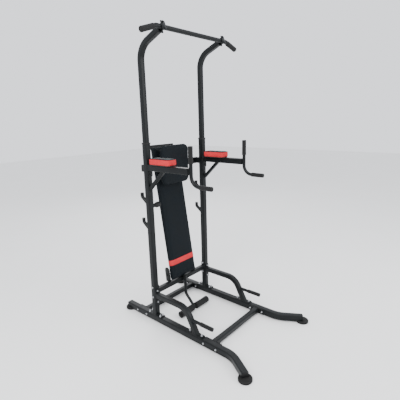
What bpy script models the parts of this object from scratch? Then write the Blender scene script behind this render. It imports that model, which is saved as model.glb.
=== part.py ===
"""Power tower: a pull-up, dip and leg-raise stand with a sit-up bench folded up between its posts.

Metres, +Z up, front of the machine towards -Y. The pieces are laid out in a local frame whose origin is
on the floor midway between the two posts, and the empty "tower" shifts it so that the world origin is
at the centre of the whole machine's footprint.
"""

import math

import bmesh
import bpy
from mathutils import Matrix, Vector

# Driving dimensions
GAP = 0.0003                    # clearance between neighbouring pieces
WALL = 0.002                    # wall of every steel tube
POST_X = 0.310                  # each post's centre, left and right of the middle
POST_Y = 0.3025                 # the posts' centre line, behind the centre of the footprint
RAIL_SIZE = 0.050
RAIL_BASE = 0.008               # underside of the base rails, above the floor
RAIL_TOP = RAIL_BASE + RAIL_SIZE
REAR_END_Y = 0.345
FLARE_CORNER_Y = -0.7636        # where the rails turn outwards
FRONT_END = Vector((0.410, -0.930))
FOOT_RADIUS = 0.047
FOOT_HEIGHT = 0.020
REAR_FOOT_Y = 0.325
FRONT_FOOT_INSET = 0.0026       # from the rail's end back to the foot's centre
LOWER_POST = 0.045
LOWER_POST_TOP = 1.430
UPPER_POST = 0.038
UPPER_POST_END = 0.930          # lower end of the telescoping post, inside the lower one
BUSH_TOP = LOWER_POST_TOP + 0.012
CROSSBAR = 0.040
FRONT_CROSSBAR_Y = -0.577
REAR_CROSSBAR_Y = 0.153
BASE_CROSSBAR_Z = 0.034
MIDDLE_CROSSBAR_Z = 0.261
BRACE_SIZE = 0.040
BRACE_Z = 0.238
BRACE_CORNER_Y = -0.3421
BRACE_FOOT_Y = -0.429
BRACE_RADIUS = 0.12
PEG_Z = 0.160
PEG_END_Y = -0.588
ARM_LOW = 1.241
ARM_HIGH = 1.286
ARM_END_Y = -0.4202
STRUT_SIZE = 0.025
STRUT_POST_Z = 1.105
STRUT_ARM_Y = -0.166
HANDLE_Y = -0.433
HANDLE_TOP = 1.426
HANDLE_LOW = 1.166
HANDLE_END_Y = -0.605
HANDLE_DIAMETER = 0.025         # the dip handles and the foot pegs
HANDLE_RADIUS = 0.07            # of the handle's bend
UPRIGHT_GRIP_LOW = 1.315
FORWARD_GRIP_REAR = -0.505
GRIP_RADIUS = 0.0165
PEG_GRIP_RADIUS = 0.0155
PEG_GRIP_LENGTH = 0.110
BAR_DIAMETER = 0.032
NECK_CORNER_Z = 2.0833          # where the upper post's two centre lines meet
NECK_RADIUS = 0.13
NECK_ANGLE = math.radians(67.8)
BAR_REACH = 0.2395              # from that corner to the pull-up bar's axis
BAR_BEND_X = 0.360
BAR_TIP = Vector((0.482, -0.041))
BAR_GRIP_LENGTH = 0.106
BAR_GRIP_RADIUS = 0.0188
ARM_PAD = ((0.255, -0.260), (0.350, -0.058))
ARM_PAD_TOP = 1.336
ARM_BOARD = 0.003
BACK_PAD_HALF = 0.150
BACK_PAD_LOW = 1.095
BACK_PAD_HIGH = 1.404
BACK_PAD_FRONT = 0.008
BACK_PAD_DEPTH = 0.030
BACK_BOARD = 0.006
BACK_STRAP = 0.004              # the flat strap between the board and the crossbar
BACK_BAR_HALF = 0.306
BACK_BAR_LOW = 1.224
BACK_BAR_HIGH = 1.276
BACK_BAR_DEPTH = 0.028
HOOK_ROOTS = (0.786, 0.986)
HOOK_DIAMETER = 0.027
HOOK_TIP_Y = 0.081
PIVOT = Vector((0.0, 0.0225, 0.335))
BENCH_LEAN = math.radians(8.49)
BENCH_HALF = 0.140
BENCH_FRONT = -0.0645           # front of the bench pad, from the pivot, square to the bench
BENCH_LOW = -0.0445
BENCH_HIGH = 1.060
BENCH_CORNER = 0.018
BENCH_BEAM_LOW = -0.0457
BAND_LOW, BAND_HIGH = 0.080, 0.124
BAND_SKIN = 0.0012
PLATE_INNER, PLATE_OUTER = 0.1435, 0.1495
PIN_HALF = 0.1555
PIN_DIAMETER = 0.012
PIN_CLEARANCE = 0.0005
T_FOOT_REACH = 1.0617
T_FOOT_HALF = 0.126
LEG_TUBE_TOP = -0.055
LEG_TUBE_BEND = Vector((0.0, -0.0313, -0.2105))
LEG_TUBE_RADIUS = 0.06
LEG_TUBE_DIAMETER = 0.025
ROLLER_AXLE = Vector((0.0, -0.1111, -0.3229))
ROLLER_RADIUS = 0.0275
ROLLER_REACH = (0.016, 0.170)
AXLE_HALF = 0.175
AXLE_DIAMETER = 0.020
KNOB_Z = 0.965

SIDES = (("left", -1.0), ("right", 1.0))
X_AXIS = Vector((1.0, 0.0, 0.0))
Y_AXIS = Vector((0.0, 1.0, 0.0))
Z_AXIS = Vector((0.0, 0.0, 1.0))


# Materials

def look(name, colour, roughness, metallic=0.0):
    material = bpy.data.materials.new(name)
    material.use_nodes = True
    shader = material.node_tree.nodes["Principled BSDF"]
    shader.inputs["Base Color"].default_value = (*colour, 1.0)
    shader.inputs["Roughness"].default_value = roughness
    shader.inputs["Metallic"].default_value = metallic
    material.diffuse_color = (*colour, 1.0)
    return material


def make_looks():
    return {
        "steel": look("powder_coated_steel", (0.022, 0.025, 0.025), 0.38),
        "zinc": look("zinc_plate", (0.62, 0.63, 0.65), 0.30, 1.0),
        "rubber": look("black_rubber", (0.025, 0.025, 0.024), 0.75),
        "foam": look("black_foam", (0.020, 0.020, 0.021), 0.90),
        "vinyl": look("black_vinyl", (0.018, 0.020, 0.023), 0.50),
        "red_vinyl": look("coral_red_vinyl", (0.80, 0.085, 0.060), 0.45),
        "plastic": look("black_plastic", (0.020, 0.020, 0.020), 0.45),
        "board": look("black_board", (0.030, 0.028, 0.026), 0.80),
    }


# Outlines and routes

def square(width, depth=None, corner=0.006):
    """A rectangle with cut corners, as (side, normal) points."""
    half = width / 2
    deep = (depth or width) / 2
    return [
        (half, corner - deep), (half, deep - corner), (half - corner, deep), (corner - half, deep),
        (-half, deep - corner), (-half, corner - deep), (corner - half, -deep), (half - corner, -deep),
    ]


def circle(diameter, sides=12):
    radius = diameter / 2
    turns = [2 * math.pi * (index + 0.5) / sides for index in range(sides)]
    return [(radius * math.cos(turn), radius * math.sin(turn)) for turn in turns]


def rounded_outline(low, high, radius, steps=3):
    """Corners of a rounded rectangle, counter-clockwise."""
    points = []
    centres = (
        (high[0] - radius, high[1] - radius), (low[0] + radius, high[1] - radius),
        (low[0] + radius, low[1] + radius), (high[0] - radius, low[1] + radius),
    )
    for quarter, (x, y) in enumerate(centres):
        for step in range(steps + 1):
            turn = math.pi / 2 * (quarter + step / steps)
            points.append((x + radius * math.cos(turn), y + radius * math.sin(turn)))
    return points


def route(corners, radius, steps):
    """The corner points with each inner corner rounded to an arc."""
    points = [Vector(corners[0])]
    for before, corner, after in zip(corners, corners[1:], corners[2:]):
        come = (Vector(corner) - Vector(before)).normalized()
        leave = (Vector(after) - Vector(corner)).normalized()
        turn = come.angle(leave)
        axis = come.cross(leave).normalized()
        start = Vector(corner) - come * radius * math.tan(turn / 2)
        centre = start + axis.cross(come) * radius
        for step in range(steps + 1):
            spin = Matrix.Rotation(turn * step / steps, 3, axis)
            points.append(centre + spin @ (start - centre))
    points.append(Vector(corners[-1]))
    return points


# Shapes

def ring_faces(first, second):
    count = len(first)
    return [(first[i], first[(i + 1) % count], second[(i + 1) % count], second[i]) for i in range(count)]


def sweep(points, side, outline, bore=None, cuts=(None, None)):
    """A bar or tube along a flat route. side is the route plane's normal, cuts are end-face normals."""
    tangents = [(b - a).normalized() for a, b in zip(points, points[1:])]
    mesh = bmesh.new()
    rings = []
    for index, point in enumerate(points):
        along = tangents[max(index - 1, 0)]
        plane = (along + tangents[min(index, len(tangents) - 1)]).normalized()
        if index == 0 and cuts[0]:
            plane = Vector(cuts[0])
        if index == len(points) - 1 and cuts[1]:
            plane = Vector(cuts[1])
        normal = along.cross(side)
        slope = plane.cross(side).normalized()
        slope = slope / slope.dot(normal)
        loops = []
        for shape in (outline, bore):
            if shape:
                loops.append([mesh.verts.new(point + side * u + slope * v) for u, v in shape])
        rings.append(loops)
    for near, far in zip(rings, rings[1:]):
        for first, second in zip(near, far):
            for face in ring_faces(first, second):
                mesh.faces.new(face)
    for loops in (rings[0], rings[-1]):
        if bore:
            for face in ring_faces(loops[0], loops[1]):
                mesh.faces.new(face)
        else:
            mesh.faces.new(loops[0])
    bmesh.ops.recalc_face_normals(mesh, faces=mesh.faces)
    return mesh


def block(low, high):
    mesh = bmesh.new()
    bmesh.ops.create_cube(mesh, size=1.0)
    low, high = Vector(low), Vector(high)
    middle = (low + high) / 2
    for vertex in mesh.verts:
        vertex.co = Vector(vertex.co[i] * (high - low)[i] + middle[i] for i in range(3))
    return mesh


def slab(outline, low, high, axes):
    """An outline drawn on two axes, carried from low to high along the third."""
    third = 3 - sum(axes)
    mesh = bmesh.new()
    ends = []
    for level in (low, high):
        ring = []
        for pair in outline:
            place = [0.0, 0.0, 0.0]
            place[axes[0]], place[axes[1]], place[third] = pair[0], pair[1], level
            ring.append(mesh.verts.new(place))
        ends.append(ring)
        mesh.faces.new(ring)
    for face in ring_faces(*ends):
        mesh.faces.new(face)
    bmesh.ops.recalc_face_normals(mesh, faces=mesh.faces)
    return mesh


def turned(profile, sides=16, ring=False):
    """A profile of (radius, height) points turned about Z. ring closes it round a hole."""
    mesh = bmesh.new()
    rows = []
    for radius, height in profile:
        if radius == 0:
            rows.append([mesh.verts.new((0, 0, height))] * sides)
            continue
        turns = [2 * math.pi * (index + 0.5) / sides for index in range(sides)]
        rows.append([mesh.verts.new((radius * math.cos(t), radius * math.sin(t), height)) for t in turns])
    pairs = list(zip(rows, rows[1:]))
    if ring:
        pairs.append((rows[-1], rows[0]))
    for first, second in pairs:
        for face in ring_faces(first, second):
            corners = list(dict.fromkeys(face))
            if len(corners) > 2:
                mesh.faces.new(corners)
    bmesh.ops.recalc_face_normals(mesh, faces=mesh.faces)
    return mesh


def rod(start, end, diameter, sides=12):
    start, end = Vector(start), Vector(end)
    side = X_AXIS if abs((end - start).normalized().x) < 0.5 else Y_AXIS
    return sweep([start, end], side, circle(diameter, sides))


# Objects

def empty(name, parent, at=(0, 0, 0), turn=(0, 0, 0)):
    holder = bpy.data.objects.new(name, None)
    bpy.context.scene.collection.objects.link(holder)
    holder.parent = parent
    holder.location = at
    holder.rotation_euler = turn
    return holder


def piece(name, mesh, material, parent, at=(0, 0, 0), turn=(0, 0, 0)):
    data = bpy.data.meshes.new(name)
    mesh.to_mesh(data)
    mesh.free()
    data.materials.append(material)
    data.shade_smooth()
    data.set_sharp_from_angle(angle=math.radians(35))
    made = bpy.data.objects.new(name, data)
    bpy.context.scene.collection.objects.link(made)
    made.parent = parent
    made.location = at
    made.rotation_euler = turn
    return made


def combine(target, operation, shapes):
    """Joins shapes to the target, or cuts them from it. They share the target's own coordinates."""
    for number, mesh in enumerate(shapes):
        helper = piece(f"{target.name}_{operation.lower()}_{number}", mesh, target.data.materials[0], target)
        helper.hide_render = True
        helper.display_type = "WIRE"
        step = target.modifiers.new(f"{operation.lower()}_{number}", "BOOLEAN")
        step.operation = operation
        step.solver = "EXACT"
        step.object = helper


def join(target, *shapes):
    combine(target, "UNION", shapes)


def cut(target, *shapes):
    combine(target, "DIFFERENCE", shapes)


# Base frame

def base_rail(name, sign, looks, tower):
    middle = RAIL_BASE + RAIL_SIZE / 2
    corners = [
        Vector((sign * POST_X, REAR_END_Y, middle)),
        Vector((sign * POST_X, FLARE_CORNER_Y, middle)),
        Vector((sign * FRONT_END.x, FRONT_END.y, middle)),
    ]
    bore = square(RAIL_SIZE - 2 * WALL)
    piece(name, sweep(route(corners, 0.20, 6), Z_AXIS, square(RAIL_SIZE), bore), looks["steel"], tower)


def foot(name, place, heading, reach, looks, tower):
    """A rubber puck with a pocket for the rail's end. heading is the rail's direction, reach its end."""
    rim = FOOT_RADIUS
    profile = [
        (0, 0), (rim - 0.002, 0), (rim, 0.003), (rim, FOOT_HEIGHT - 0.006),
        (rim - 0.005, FOOT_HEIGHT), (0, FOOT_HEIGHT),
    ]
    puck = piece(name, turned(profile, 20), looks["rubber"], tower, (place[0], place[1], 0), (0, 0, heading))
    half = RAIL_SIZE / 2 + GAP
    cut(puck, block((-half, -0.08, RAIL_BASE - GAP), (half, reach + GAP, 0.08)))


def base_crossbar(name, y, looks, tower):
    face = POST_X - RAIL_SIZE / 2 - GAP
    bar = piece(name, rod_box(face - 0.002, y, BASE_CROSSBAR_Z), looks["steel"], tower)
    for sign in (-1, 1):
        inner, outer = sorted((sign * (face - 0.005), sign * face))
        join(bar, block((inner, y - 0.074, 0.012), (outer, y + 0.074, 0.056)))
    cut(bar, rod_box(face + 0.01, y, BASE_CROSSBAR_Z, CROSSBAR - 2 * WALL))


def rod_box(half_length, y, z, size=CROSSBAR):
    ends = [Vector((-half_length, y, z)), Vector((half_length, y, z))]
    return sweep(ends, Y_AXIS, square(size, corner=0.005))


def middle_crossbar(looks, tower):
    face = POST_X - LOWER_POST / 2 - GAP
    bar = piece("crossbar_middle", rod_box(face - 0.002, 0, MIDDLE_CROSSBAR_Z), looks["steel"], tower)
    for sign in (-1, 1):
        inner, outer = sorted((sign * (face - 0.005), sign * face))
        join(bar, block((inner, -0.0205, 0.2055), (outer, 0.0205, 0.3155)))
    cut(bar, rod_box(face + 0.01, 0, MIDDLE_CROSSBAR_Z, CROSSBAR - 2 * WALL))


# Posts

def lower_post(name, sign, looks, tower):
    x = sign * POST_X
    foot_z = RAIL_TOP + GAP
    line = [Vector((x, 0, foot_z)), Vector((x, 0, LOWER_POST_TOP))]
    post = piece(name, sweep(line, X_AXIS, square(LOWER_POST)), looks["steel"], tower)
    join(post, block((x - 0.0245, -0.080, foot_z), (x + 0.0245, 0.080, foot_z + 0.006)))
    bore_line = [Vector((x, 0, 0)), Vector((x, 0, LOWER_POST_TOP + 0.1))]
    cut(post, sweep(bore_line, X_AXIS, square(LOWER_POST - 2 * WALL)))
    if sign < 0:
        cut(post, rod((x, 0, KNOB_Z), (x + 0.05, 0, KNOB_Z), 0.0115))


def telescope_bush(name, sign, looks, tower):
    """A plastic guide with a collar on the lower post's mouth and a thin sleeve inside it."""
    x = sign * POST_X
    sleeve = [Vector((x, 0, LOWER_POST_TOP - 0.045)), Vector((x, 0, BUSH_TOP - 0.002))]
    bush = piece(name, sweep(sleeve, X_AXIS, square(LOWER_POST - 2 * WALL - 2 * GAP)), looks["plastic"], tower)
    collar = [Vector((x, 0, LOWER_POST_TOP + GAP)), Vector((x, 0, BUSH_TOP))]
    join(bush, sweep(collar, X_AXIS, square(0.051)))
    through = [Vector((x, 0, LOWER_POST_TOP - 0.1)), Vector((x, 0, BUSH_TOP + 0.1))]
    cut(bush, sweep(through, X_AXIS, square(UPPER_POST + 0.0008, corner=0.005)))


def arch_brace(name, sign, looks, tower):
    """The bowed brace from the post's front down to the rail, with its foot peg."""
    x = sign * POST_X
    face = -LOWER_POST / 2 - GAP
    fall = Vector((0, -0.469, -0.883)).normalized()
    corner = Vector((x, BRACE_CORNER_Y, BRACE_Z))

    def leg(z):
        return corner + fall * ((BRACE_Z - z) / -fall.z)

    corners = [Vector((x, face - 0.003, BRACE_Z)), corner, leg(RAIL_TOP + 0.003)]
    body = sweep(route(corners, BRACE_RADIUS, 7), X_AXIS, square(BRACE_SIZE), cuts=(Y_AXIS, Z_AXIS))
    brace = piece(name, body, looks["steel"], tower)
    low = RAIL_TOP + GAP
    join(brace, block((x - 0.0205, face - 0.005, 0.162), (x + 0.0205, face, 0.287)))
    join(brace, block((x - 0.0215, BRACE_FOOT_Y - 0.075, low), (x + 0.0215, BRACE_FOOT_Y + 0.075, low + 0.006)))
    join(brace, rod((x, leg(PEG_Z).y, PEG_Z), (x, PEG_END_Y, PEG_Z), HANDLE_DIAMETER))
    bore_corners = [Vector((x, 0.05, BRACE_Z)), corner, leg(RAIL_TOP - 0.03)]
    bore = square(BRACE_SIZE - 2 * WALL)
    cut(brace, sweep(route(bore_corners, BRACE_RADIUS, 7), X_AXIS, bore, cuts=(Y_AXIS, Z_AXIS)))


def sleeve_profile(inner, outer, length, cap):
    """A tube with one closed, softly rounded end at height length + cap."""
    end = length + cap
    return [
        (inner, 0), (outer, 0), (outer, end - 0.004), (outer - 0.004, end), (0, end), (0, length), (inner, length),
    ]


def grip(name, start, direction, inner, outer, length, looks, tower):
    """A foam sleeve with a closed end that starts at a point and covers the tube's last stretch."""
    mesh = turned(sleeve_profile(inner, outer, length, 0.004), 16, True)
    turn = Z_AXIS.rotation_difference(Vector(direction)).to_euler()
    piece(name, mesh, looks["foam"], tower, start, turn)


# Dip station

def dip_arm(name, sign, looks, tower):
    x = sign * POST_X
    face = -LOWER_POST / 2 - GAP
    middle = (ARM_LOW + ARM_HIGH) / 2
    line = [Vector((x, face - 0.002, middle)), Vector((x, ARM_END_Y, middle))]
    arm = piece(name, sweep(line, X_AXIS, square(0.045)), looks["steel"], tower)
    join(arm, block((x - 0.0225, face - 0.005, 1.196), (x + 0.0225, face, ARM_HIGH)))
    bore_line = [Vector((x, 0.05, middle)), Vector((x, ARM_END_Y - 0.05, middle))]
    cut(arm, sweep(bore_line, X_AXIS, square(0.045 - 2 * WALL)))


def arm_strut(name, sign, looks, tower):
    x = sign * POST_X
    line = [
        Vector((x, -LOWER_POST / 2 - GAP, STRUT_POST_Z)),
        Vector((x, STRUT_ARM_Y, ARM_LOW - GAP)),
    ]
    outline = square(STRUT_SIZE, corner=0.004)
    bore = square(STRUT_SIZE - 2 * WALL, corner=0.003)
    piece(name, sweep(line, X_AXIS, outline, bore, (Y_AXIS, Z_AXIS)), looks["steel"], tower)


def dip_handle(name, sign, looks, tower):
    x = sign * POST_X
    corners = [
        Vector((x, HANDLE_Y, HANDLE_TOP)),
        Vector((x, HANDLE_Y, HANDLE_LOW)),
        Vector((x, HANDLE_END_Y, HANDLE_LOW)),
    ]
    outline = circle(HANDLE_DIAMETER)
    bore = circle(HANDLE_DIAMETER - 2 * WALL)
    piece(name, sweep(route(corners, HANDLE_RADIUS, 6), X_AXIS, outline, bore), looks["steel"], tower)


def handle_grips(side, sign, looks, tower):
    x = sign * POST_X
    inner = HANDLE_DIAMETER / 2 + 2 * GAP
    start = (x, HANDLE_Y, UPRIGHT_GRIP_LOW)
    length = HANDLE_TOP - UPRIGHT_GRIP_LOW + GAP
    grip(f"upright_grip_{side}", start, Z_AXIS, inner, GRIP_RADIUS, length, looks, tower)
    start = (x, FORWARD_GRIP_REAR, HANDLE_LOW)
    length = FORWARD_GRIP_REAR - HANDLE_END_Y + GAP
    grip(f"forward_grip_{side}", start, -Y_AXIS, inner, GRIP_RADIUS, length, looks, tower)


def arm_pad(side, sign, looks, tower):
    (inner, front), (outer, rear) = ARM_PAD
    low, high = sorted((sign * inner, sign * outer))
    board = rounded_outline((low + 0.007, front + 0.007), (high - 0.007, rear - 0.005), 0.014)
    cushion = rounded_outline((low, front), (high, rear), 0.018)
    low_z = ARM_HIGH + GAP + ARM_BOARD + GAP
    piece(f"arm_pad_board_{side}", slab(board, ARM_HIGH + GAP, low_z - GAP, (0, 1)), looks["board"], tower)
    piece(f"arm_pad_{side}", slab(cushion, low_z, ARM_PAD_TOP, (0, 1)), looks["red_vinyl"], tower)


# Back rest

def back_rest(looks, tower):
    board_front = BACK_PAD_FRONT + BACK_PAD_DEPTH + GAP
    board_rear = board_front + BACK_BOARD
    strap_rear = board_rear + GAP + BACK_STRAP
    front = strap_rear + GAP
    rear = front + BACK_BAR_DEPTH
    low, high = BACK_BAR_LOW, BACK_BAR_HIGH
    beam = block((-BACK_BAR_HALF, front, low), (BACK_BAR_HALF, rear, high))
    bar = piece("back_crossbar", beam, looks["steel"], tower)
    for sign in (-1, 1):
        inner, outer = sorted((sign * (POST_X - 0.021), sign * (BACK_BAR_HALF - 0.001)))
        join(bar, block((inner, LOWER_POST / 2 + GAP, low + 0.001), (outer, rear - 0.001, high - 0.001)))
    cut(bar, block((-0.5, front + WALL, low + WALL), (0.5, rear - WALL - 0.001, high - WALL - 0.001)))
    strap = block((-0.020, board_rear + GAP, BACK_PAD_LOW + 0.040), (0.020, strap_rear, BACK_PAD_HIGH - 0.025))
    piece("back_pad_bracket", strap, looks["steel"], tower)
    side, end = BACK_PAD_HALF - 0.012, 0.012
    board = rounded_outline((-side, BACK_PAD_LOW + end), (side, BACK_PAD_HIGH - end), 0.038)
    piece("back_pad_board", slab(board, board_front, board_rear, (0, 2)), looks["board"], tower)
    cushion = rounded_outline((-BACK_PAD_HALF, BACK_PAD_LOW), (BACK_PAD_HALF, BACK_PAD_HIGH), 0.045, 4)
    piece("back_pad", slab(cushion, BACK_PAD_FRONT, board_front - GAP, (0, 2)), looks["vinyl"], tower)


def hook(name, sign, root, looks, tower):
    """A round bar that leaves the post's rear face at a slant and turns up."""
    x = sign * POST_X
    corners = [
        Vector((x, LOWER_POST / 2 + GAP, root)),
        Vector((x, HOOK_TIP_Y, root + 0.045)),
        Vector((x, HOOK_TIP_Y, root + 0.077)),
    ]
    body = sweep(route(corners, 0.02, 3), X_AXIS, circle(HOOK_DIAMETER, 10), cuts=(Y_AXIS, None))
    piece(name, body, looks["steel"], tower)


# Locking knob

def lock_knob(looks, tower):
    face = -POST_X + LOWER_POST / 2
    turn = (0, math.radians(90), 0)
    collar = [(0.0056, 0), (0.015, 0), (0.015, 0.014), (0.012, 0.018), (0.0056, 0.018)]
    piece("knob_bush", turned(collar, 16, True), looks["steel"], tower, (face + GAP, 0, KNOB_Z), turn)
    reach = -face - 0.210
    profile = [
        (0, -0.0030), (0.0040, -0.0030), (0.0050, -0.0015), (0.0050, 0.0195), (0.014, 0.0195), (0.0165, 0.030),
        (0.0215, 0.040), (0.0225, 0.044), (0.0225, reach - 0.006), (0.019, reach), (0, reach),
    ]
    piece("lock_knob", turned(profile, 16), looks["plastic"], tower, (face, 0, KNOB_Z), turn)


# Telescoping upper frame

def upper_frame(looks, tower):
    frame = empty("upper_frame", tower, (0, 0, NECK_CORNER_Z))
    reach = Vector((0, -math.sin(NECK_ANGLE), math.cos(NECK_ANGLE)))
    bar_centre = reach * BAR_REACH
    back_plate = BAR_REACH - BAR_DIAMETER / 2 - GAP
    for side, sign in SIDES:
        x = Vector((sign * POST_X, 0, 0))
        corners = [x + Z_AXIS * (UPPER_POST_END - NECK_CORNER_Z), x, x + reach * (back_plate - 0.002)]
        path = route(corners, NECK_RADIUS, 8)
        tube = sweep(path, X_AXIS, square(UPPER_POST, corner=0.005), square(UPPER_POST - 2 * WALL, corner=0.004))
        post = piece(f"upper_post_{side}", tube, looks["steel"], frame)
        join(post, plate(x + reach * (back_plate - 0.004), x + reach * back_plate))
        front = BAR_REACH + BAR_DIAMETER / 2 + GAP
        clamp = plate(x + reach * front, x + reach * (front + 0.004))
        piece(f"bar_clamp_{side}", clamp, looks["steel"], frame)
    ends = [
        bar_centre + Vector((-BAR_TIP.x, 0, BAR_TIP.y)),
        bar_centre + Vector((-BAR_BEND_X, 0, 0)),
        bar_centre + Vector((BAR_BEND_X, 0, 0)),
        bar_centre + Vector((BAR_TIP.x, 0, BAR_TIP.y)),
    ]
    tube = sweep(route(ends, 0.06, 3), Y_AXIS, circle(BAR_DIAMETER, 14), circle(BAR_DIAMETER - 2 * WALL, 14))
    piece("pull_up_bar", tube, looks["steel"], frame)
    for side, sign in SIDES:
        tip = bar_centre + Vector((sign * BAR_TIP.x, 0, BAR_TIP.y))
        bend = bar_centre + Vector((sign * BAR_BEND_X, 0, 0))
        along = (tip - bend).normalized()
        start = tip - along * (BAR_GRIP_LENGTH - GAP)
        inner = BAR_DIAMETER / 2 + 0.0005
        grip(f"bar_grip_{side}", start, along, inner, BAR_GRIP_RADIUS, BAR_GRIP_LENGTH, looks, frame)


def plate(start, end):
    return sweep([start, end], X_AXIS, square(0.040, 0.060, 0.004))


# Folding bench

def bench(looks, tower):
    hinge = empty("bench_pivot", tower, PIVOT, (-BENCH_LEAN, 0, 0))
    frame_low = BENCH_BEAM_LOW
    frame_high = T_FOOT_REACH - 0.0175 - GAP
    half_deep = 0.015
    beam = piece("bench_frame", block((-0.020, -0.0145, frame_low), (0.020, half_deep, frame_high)),
                 looks["steel"], hinge)
    join(beam, block((-0.020, -0.070, frame_low - 0.006), (0.020, 0.0, frame_low + 0.0005)))
    cut(beam, block((-0.018, -0.0125, frame_low + 0.002), (0.018, half_deep - WALL, frame_high + 0.1)))
    hole = PIN_DIAMETER + 2 * PIN_CLEARANCE
    cut(beam, rod((-0.1, 0, 0), (0.1, 0, 0), hole))

    side = BENCH_HALF - 0.012
    deck = rounded_outline((-side, BENCH_LOW + 0.014), (side, frame_high - 0.004), 0.02)
    piece("bench_board", slab(deck, -0.0245, -0.0148, (0, 2)), looks["board"], hinge)
    cushion = rounded_outline((-BENCH_HALF, BENCH_LOW), (BENCH_HALF, BENCH_HIGH), BENCH_CORNER)
    piece("bench_pad", slab(cushion, BENCH_FRONT, -0.0248, (0, 2)), looks["vinyl"], hinge)
    inside = BENCH_HALF + GAP
    outside = inside + BAND_SKIN
    wrap = block((-outside, BENCH_FRONT - GAP - BAND_SKIN, BAND_LOW), (outside, -0.028, BAND_HIGH))
    band = piece("bench_band", wrap, looks["red_vinyl"], hinge)
    cut(band, block((-inside, BENCH_FRONT - GAP, BAND_LOW - 0.1), (inside, 0.1, BAND_HIGH + 0.1)))

    ends = [Vector((sign * T_FOOT_HALF, 0, T_FOOT_REACH)) for sign in (-1, 1)]
    tube = sweep(ends, Y_AXIS, square(0.035, corner=0.005), square(0.035 - 2 * WALL, corner=0.004))
    piece("bench_t_foot", tube, looks["steel"], hinge)

    top = Vector((0, LEG_TUBE_TOP, frame_low - 0.006 - GAP))
    path = route([top, LEG_TUBE_BEND, ROLLER_AXLE], LEG_TUBE_RADIUS, 3)
    tube = sweep(path, X_AXIS, circle(LEG_TUBE_DIAMETER), cuts=(Z_AXIS, None))
    drop = piece("leg_hold", tube, looks["steel"], hinge)
    across = Vector((AXLE_HALF, 0, 0))
    join(drop, rod(ROLLER_AXLE - across, ROLLER_AXLE + across, AXLE_DIAMETER))
    above = top + (top - LEG_TUBE_BEND).normalized() * 0.02
    path = route([above, LEG_TUBE_BEND, ROLLER_AXLE], LEG_TUBE_RADIUS, 3)
    cut(drop, sweep(path, X_AXIS, circle(LEG_TUBE_DIAMETER - 2 * WALL)))
    cut(drop, rod(ROLLER_AXLE - across * 1.1, ROLLER_AXLE + across * 1.1, AXLE_DIAMETER - 0.005))
    near, far = ROLLER_REACH
    inner = AXLE_DIAMETER / 2 + 2 * GAP
    profile = [
        (inner, near), (ROLLER_RADIUS - 0.005, near), (ROLLER_RADIUS, near + 0.006),
        (ROLLER_RADIUS, far - 0.006), (ROLLER_RADIUS - 0.005, far), (inner, far),
    ]
    for side, sign in SIDES:
        holder = (0, sign * math.radians(90), 0)
        piece(f"foam_roller_{side}", turned(profile, 16, True), looks["foam"], hinge, ROLLER_AXLE, holder)


def hinge_mount(looks, tower):
    """The two upright ears on the middle crossbar and the pin that the bench turns on."""
    base = MIDDLE_CROSSBAR_Z + CROSSBAR / 2 + GAP
    for side, sign in SIDES:
        outline = [(-0.018, base), (0.038, base), (0.036, 0.380), (0.027, 0.396), (0.0125, 0.402),
                   (-0.002, 0.396), (-0.011, 0.380)]
        low, high = sorted((sign * PLATE_INNER, sign * PLATE_OUTER))
        ear = piece(f"hinge_plate_{side}", slab(outline, low, high, (1, 2)), looks["steel"], tower)
        hole = PIN_DIAMETER + 2 * PIN_CLEARANCE
        cut(ear, rod((low - 0.01, PIVOT.y, PIVOT.z), (high + 0.01, PIVOT.y, PIVOT.z), hole))
    pin = rod((-PIN_HALF, PIVOT.y, PIVOT.z), (PIN_HALF, PIVOT.y, PIVOT.z), PIN_DIAMETER)
    piece("hinge_pin", pin, looks["zinc"], tower)


def main():
    for old in list(bpy.data.objects):
        bpy.data.objects.remove(old)
    looks = make_looks()
    tower = empty("tower", None, (0, POST_Y, 0))
    flare = math.atan2(FRONT_END.x - POST_X, FLARE_CORNER_Y - FRONT_END.y)
    for side, sign in SIDES:
        base_rail(f"base_rail_{side}", sign, looks, tower)
        foot(f"rear_foot_{side}", (sign * POST_X, REAR_FOOT_Y), 0, REAR_END_Y - REAR_FOOT_Y, looks, tower)
        x = FRONT_END.x - FRONT_FOOT_INSET * math.sin(flare)
        y = FRONT_END.y + FRONT_FOOT_INSET * math.cos(flare)
        heading = math.pi + sign * flare
        foot(f"front_foot_{side}", (sign * x, y), heading, FRONT_FOOT_INSET, looks, tower)
        lower_post(f"lower_post_{side}", sign, looks, tower)
        telescope_bush(f"telescope_bush_{side}", sign, looks, tower)
        arch_brace(f"arch_brace_{side}", sign, looks, tower)
        start = (sign * POST_X, PEG_END_Y + PEG_GRIP_LENGTH, PEG_Z)
        inner = HANDLE_DIAMETER / 2 + 2 * GAP
        length = PEG_GRIP_LENGTH + GAP
        grip(f"peg_grip_{side}", start, -Y_AXIS, inner, PEG_GRIP_RADIUS, length, looks, tower)
        dip_arm(f"dip_arm_{side}", sign, looks, tower)
        arm_strut(f"arm_strut_{side}", sign, looks, tower)
        dip_handle(f"dip_handle_{side}", sign, looks, tower)
        handle_grips(side, sign, looks, tower)
        arm_pad(side, sign, looks, tower)
        for level, root in zip(("low", "high"), HOOK_ROOTS):
            hook(f"hook_{level}_{side}", sign, root, looks, tower)
    base_crossbar("crossbar_front", FRONT_CROSSBAR_Y, looks, tower)
    base_crossbar("crossbar_rear", REAR_CROSSBAR_Y, looks, tower)
    middle_crossbar(looks, tower)
    back_rest(looks, tower)
    lock_knob(looks, tower)
    hinge_mount(looks, tower)
    upper_frame(looks, tower)
    bench(looks, tower)


main()
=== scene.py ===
"""Studio scene of the power tower: fine pieces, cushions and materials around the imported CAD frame.

Metres, +Z up, front of the machine towards -Y.
"""
import math

import bmesh
import bpy
from mathutils import Matrix, Vector
from mathutils.bvhtree import BVHTree


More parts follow.
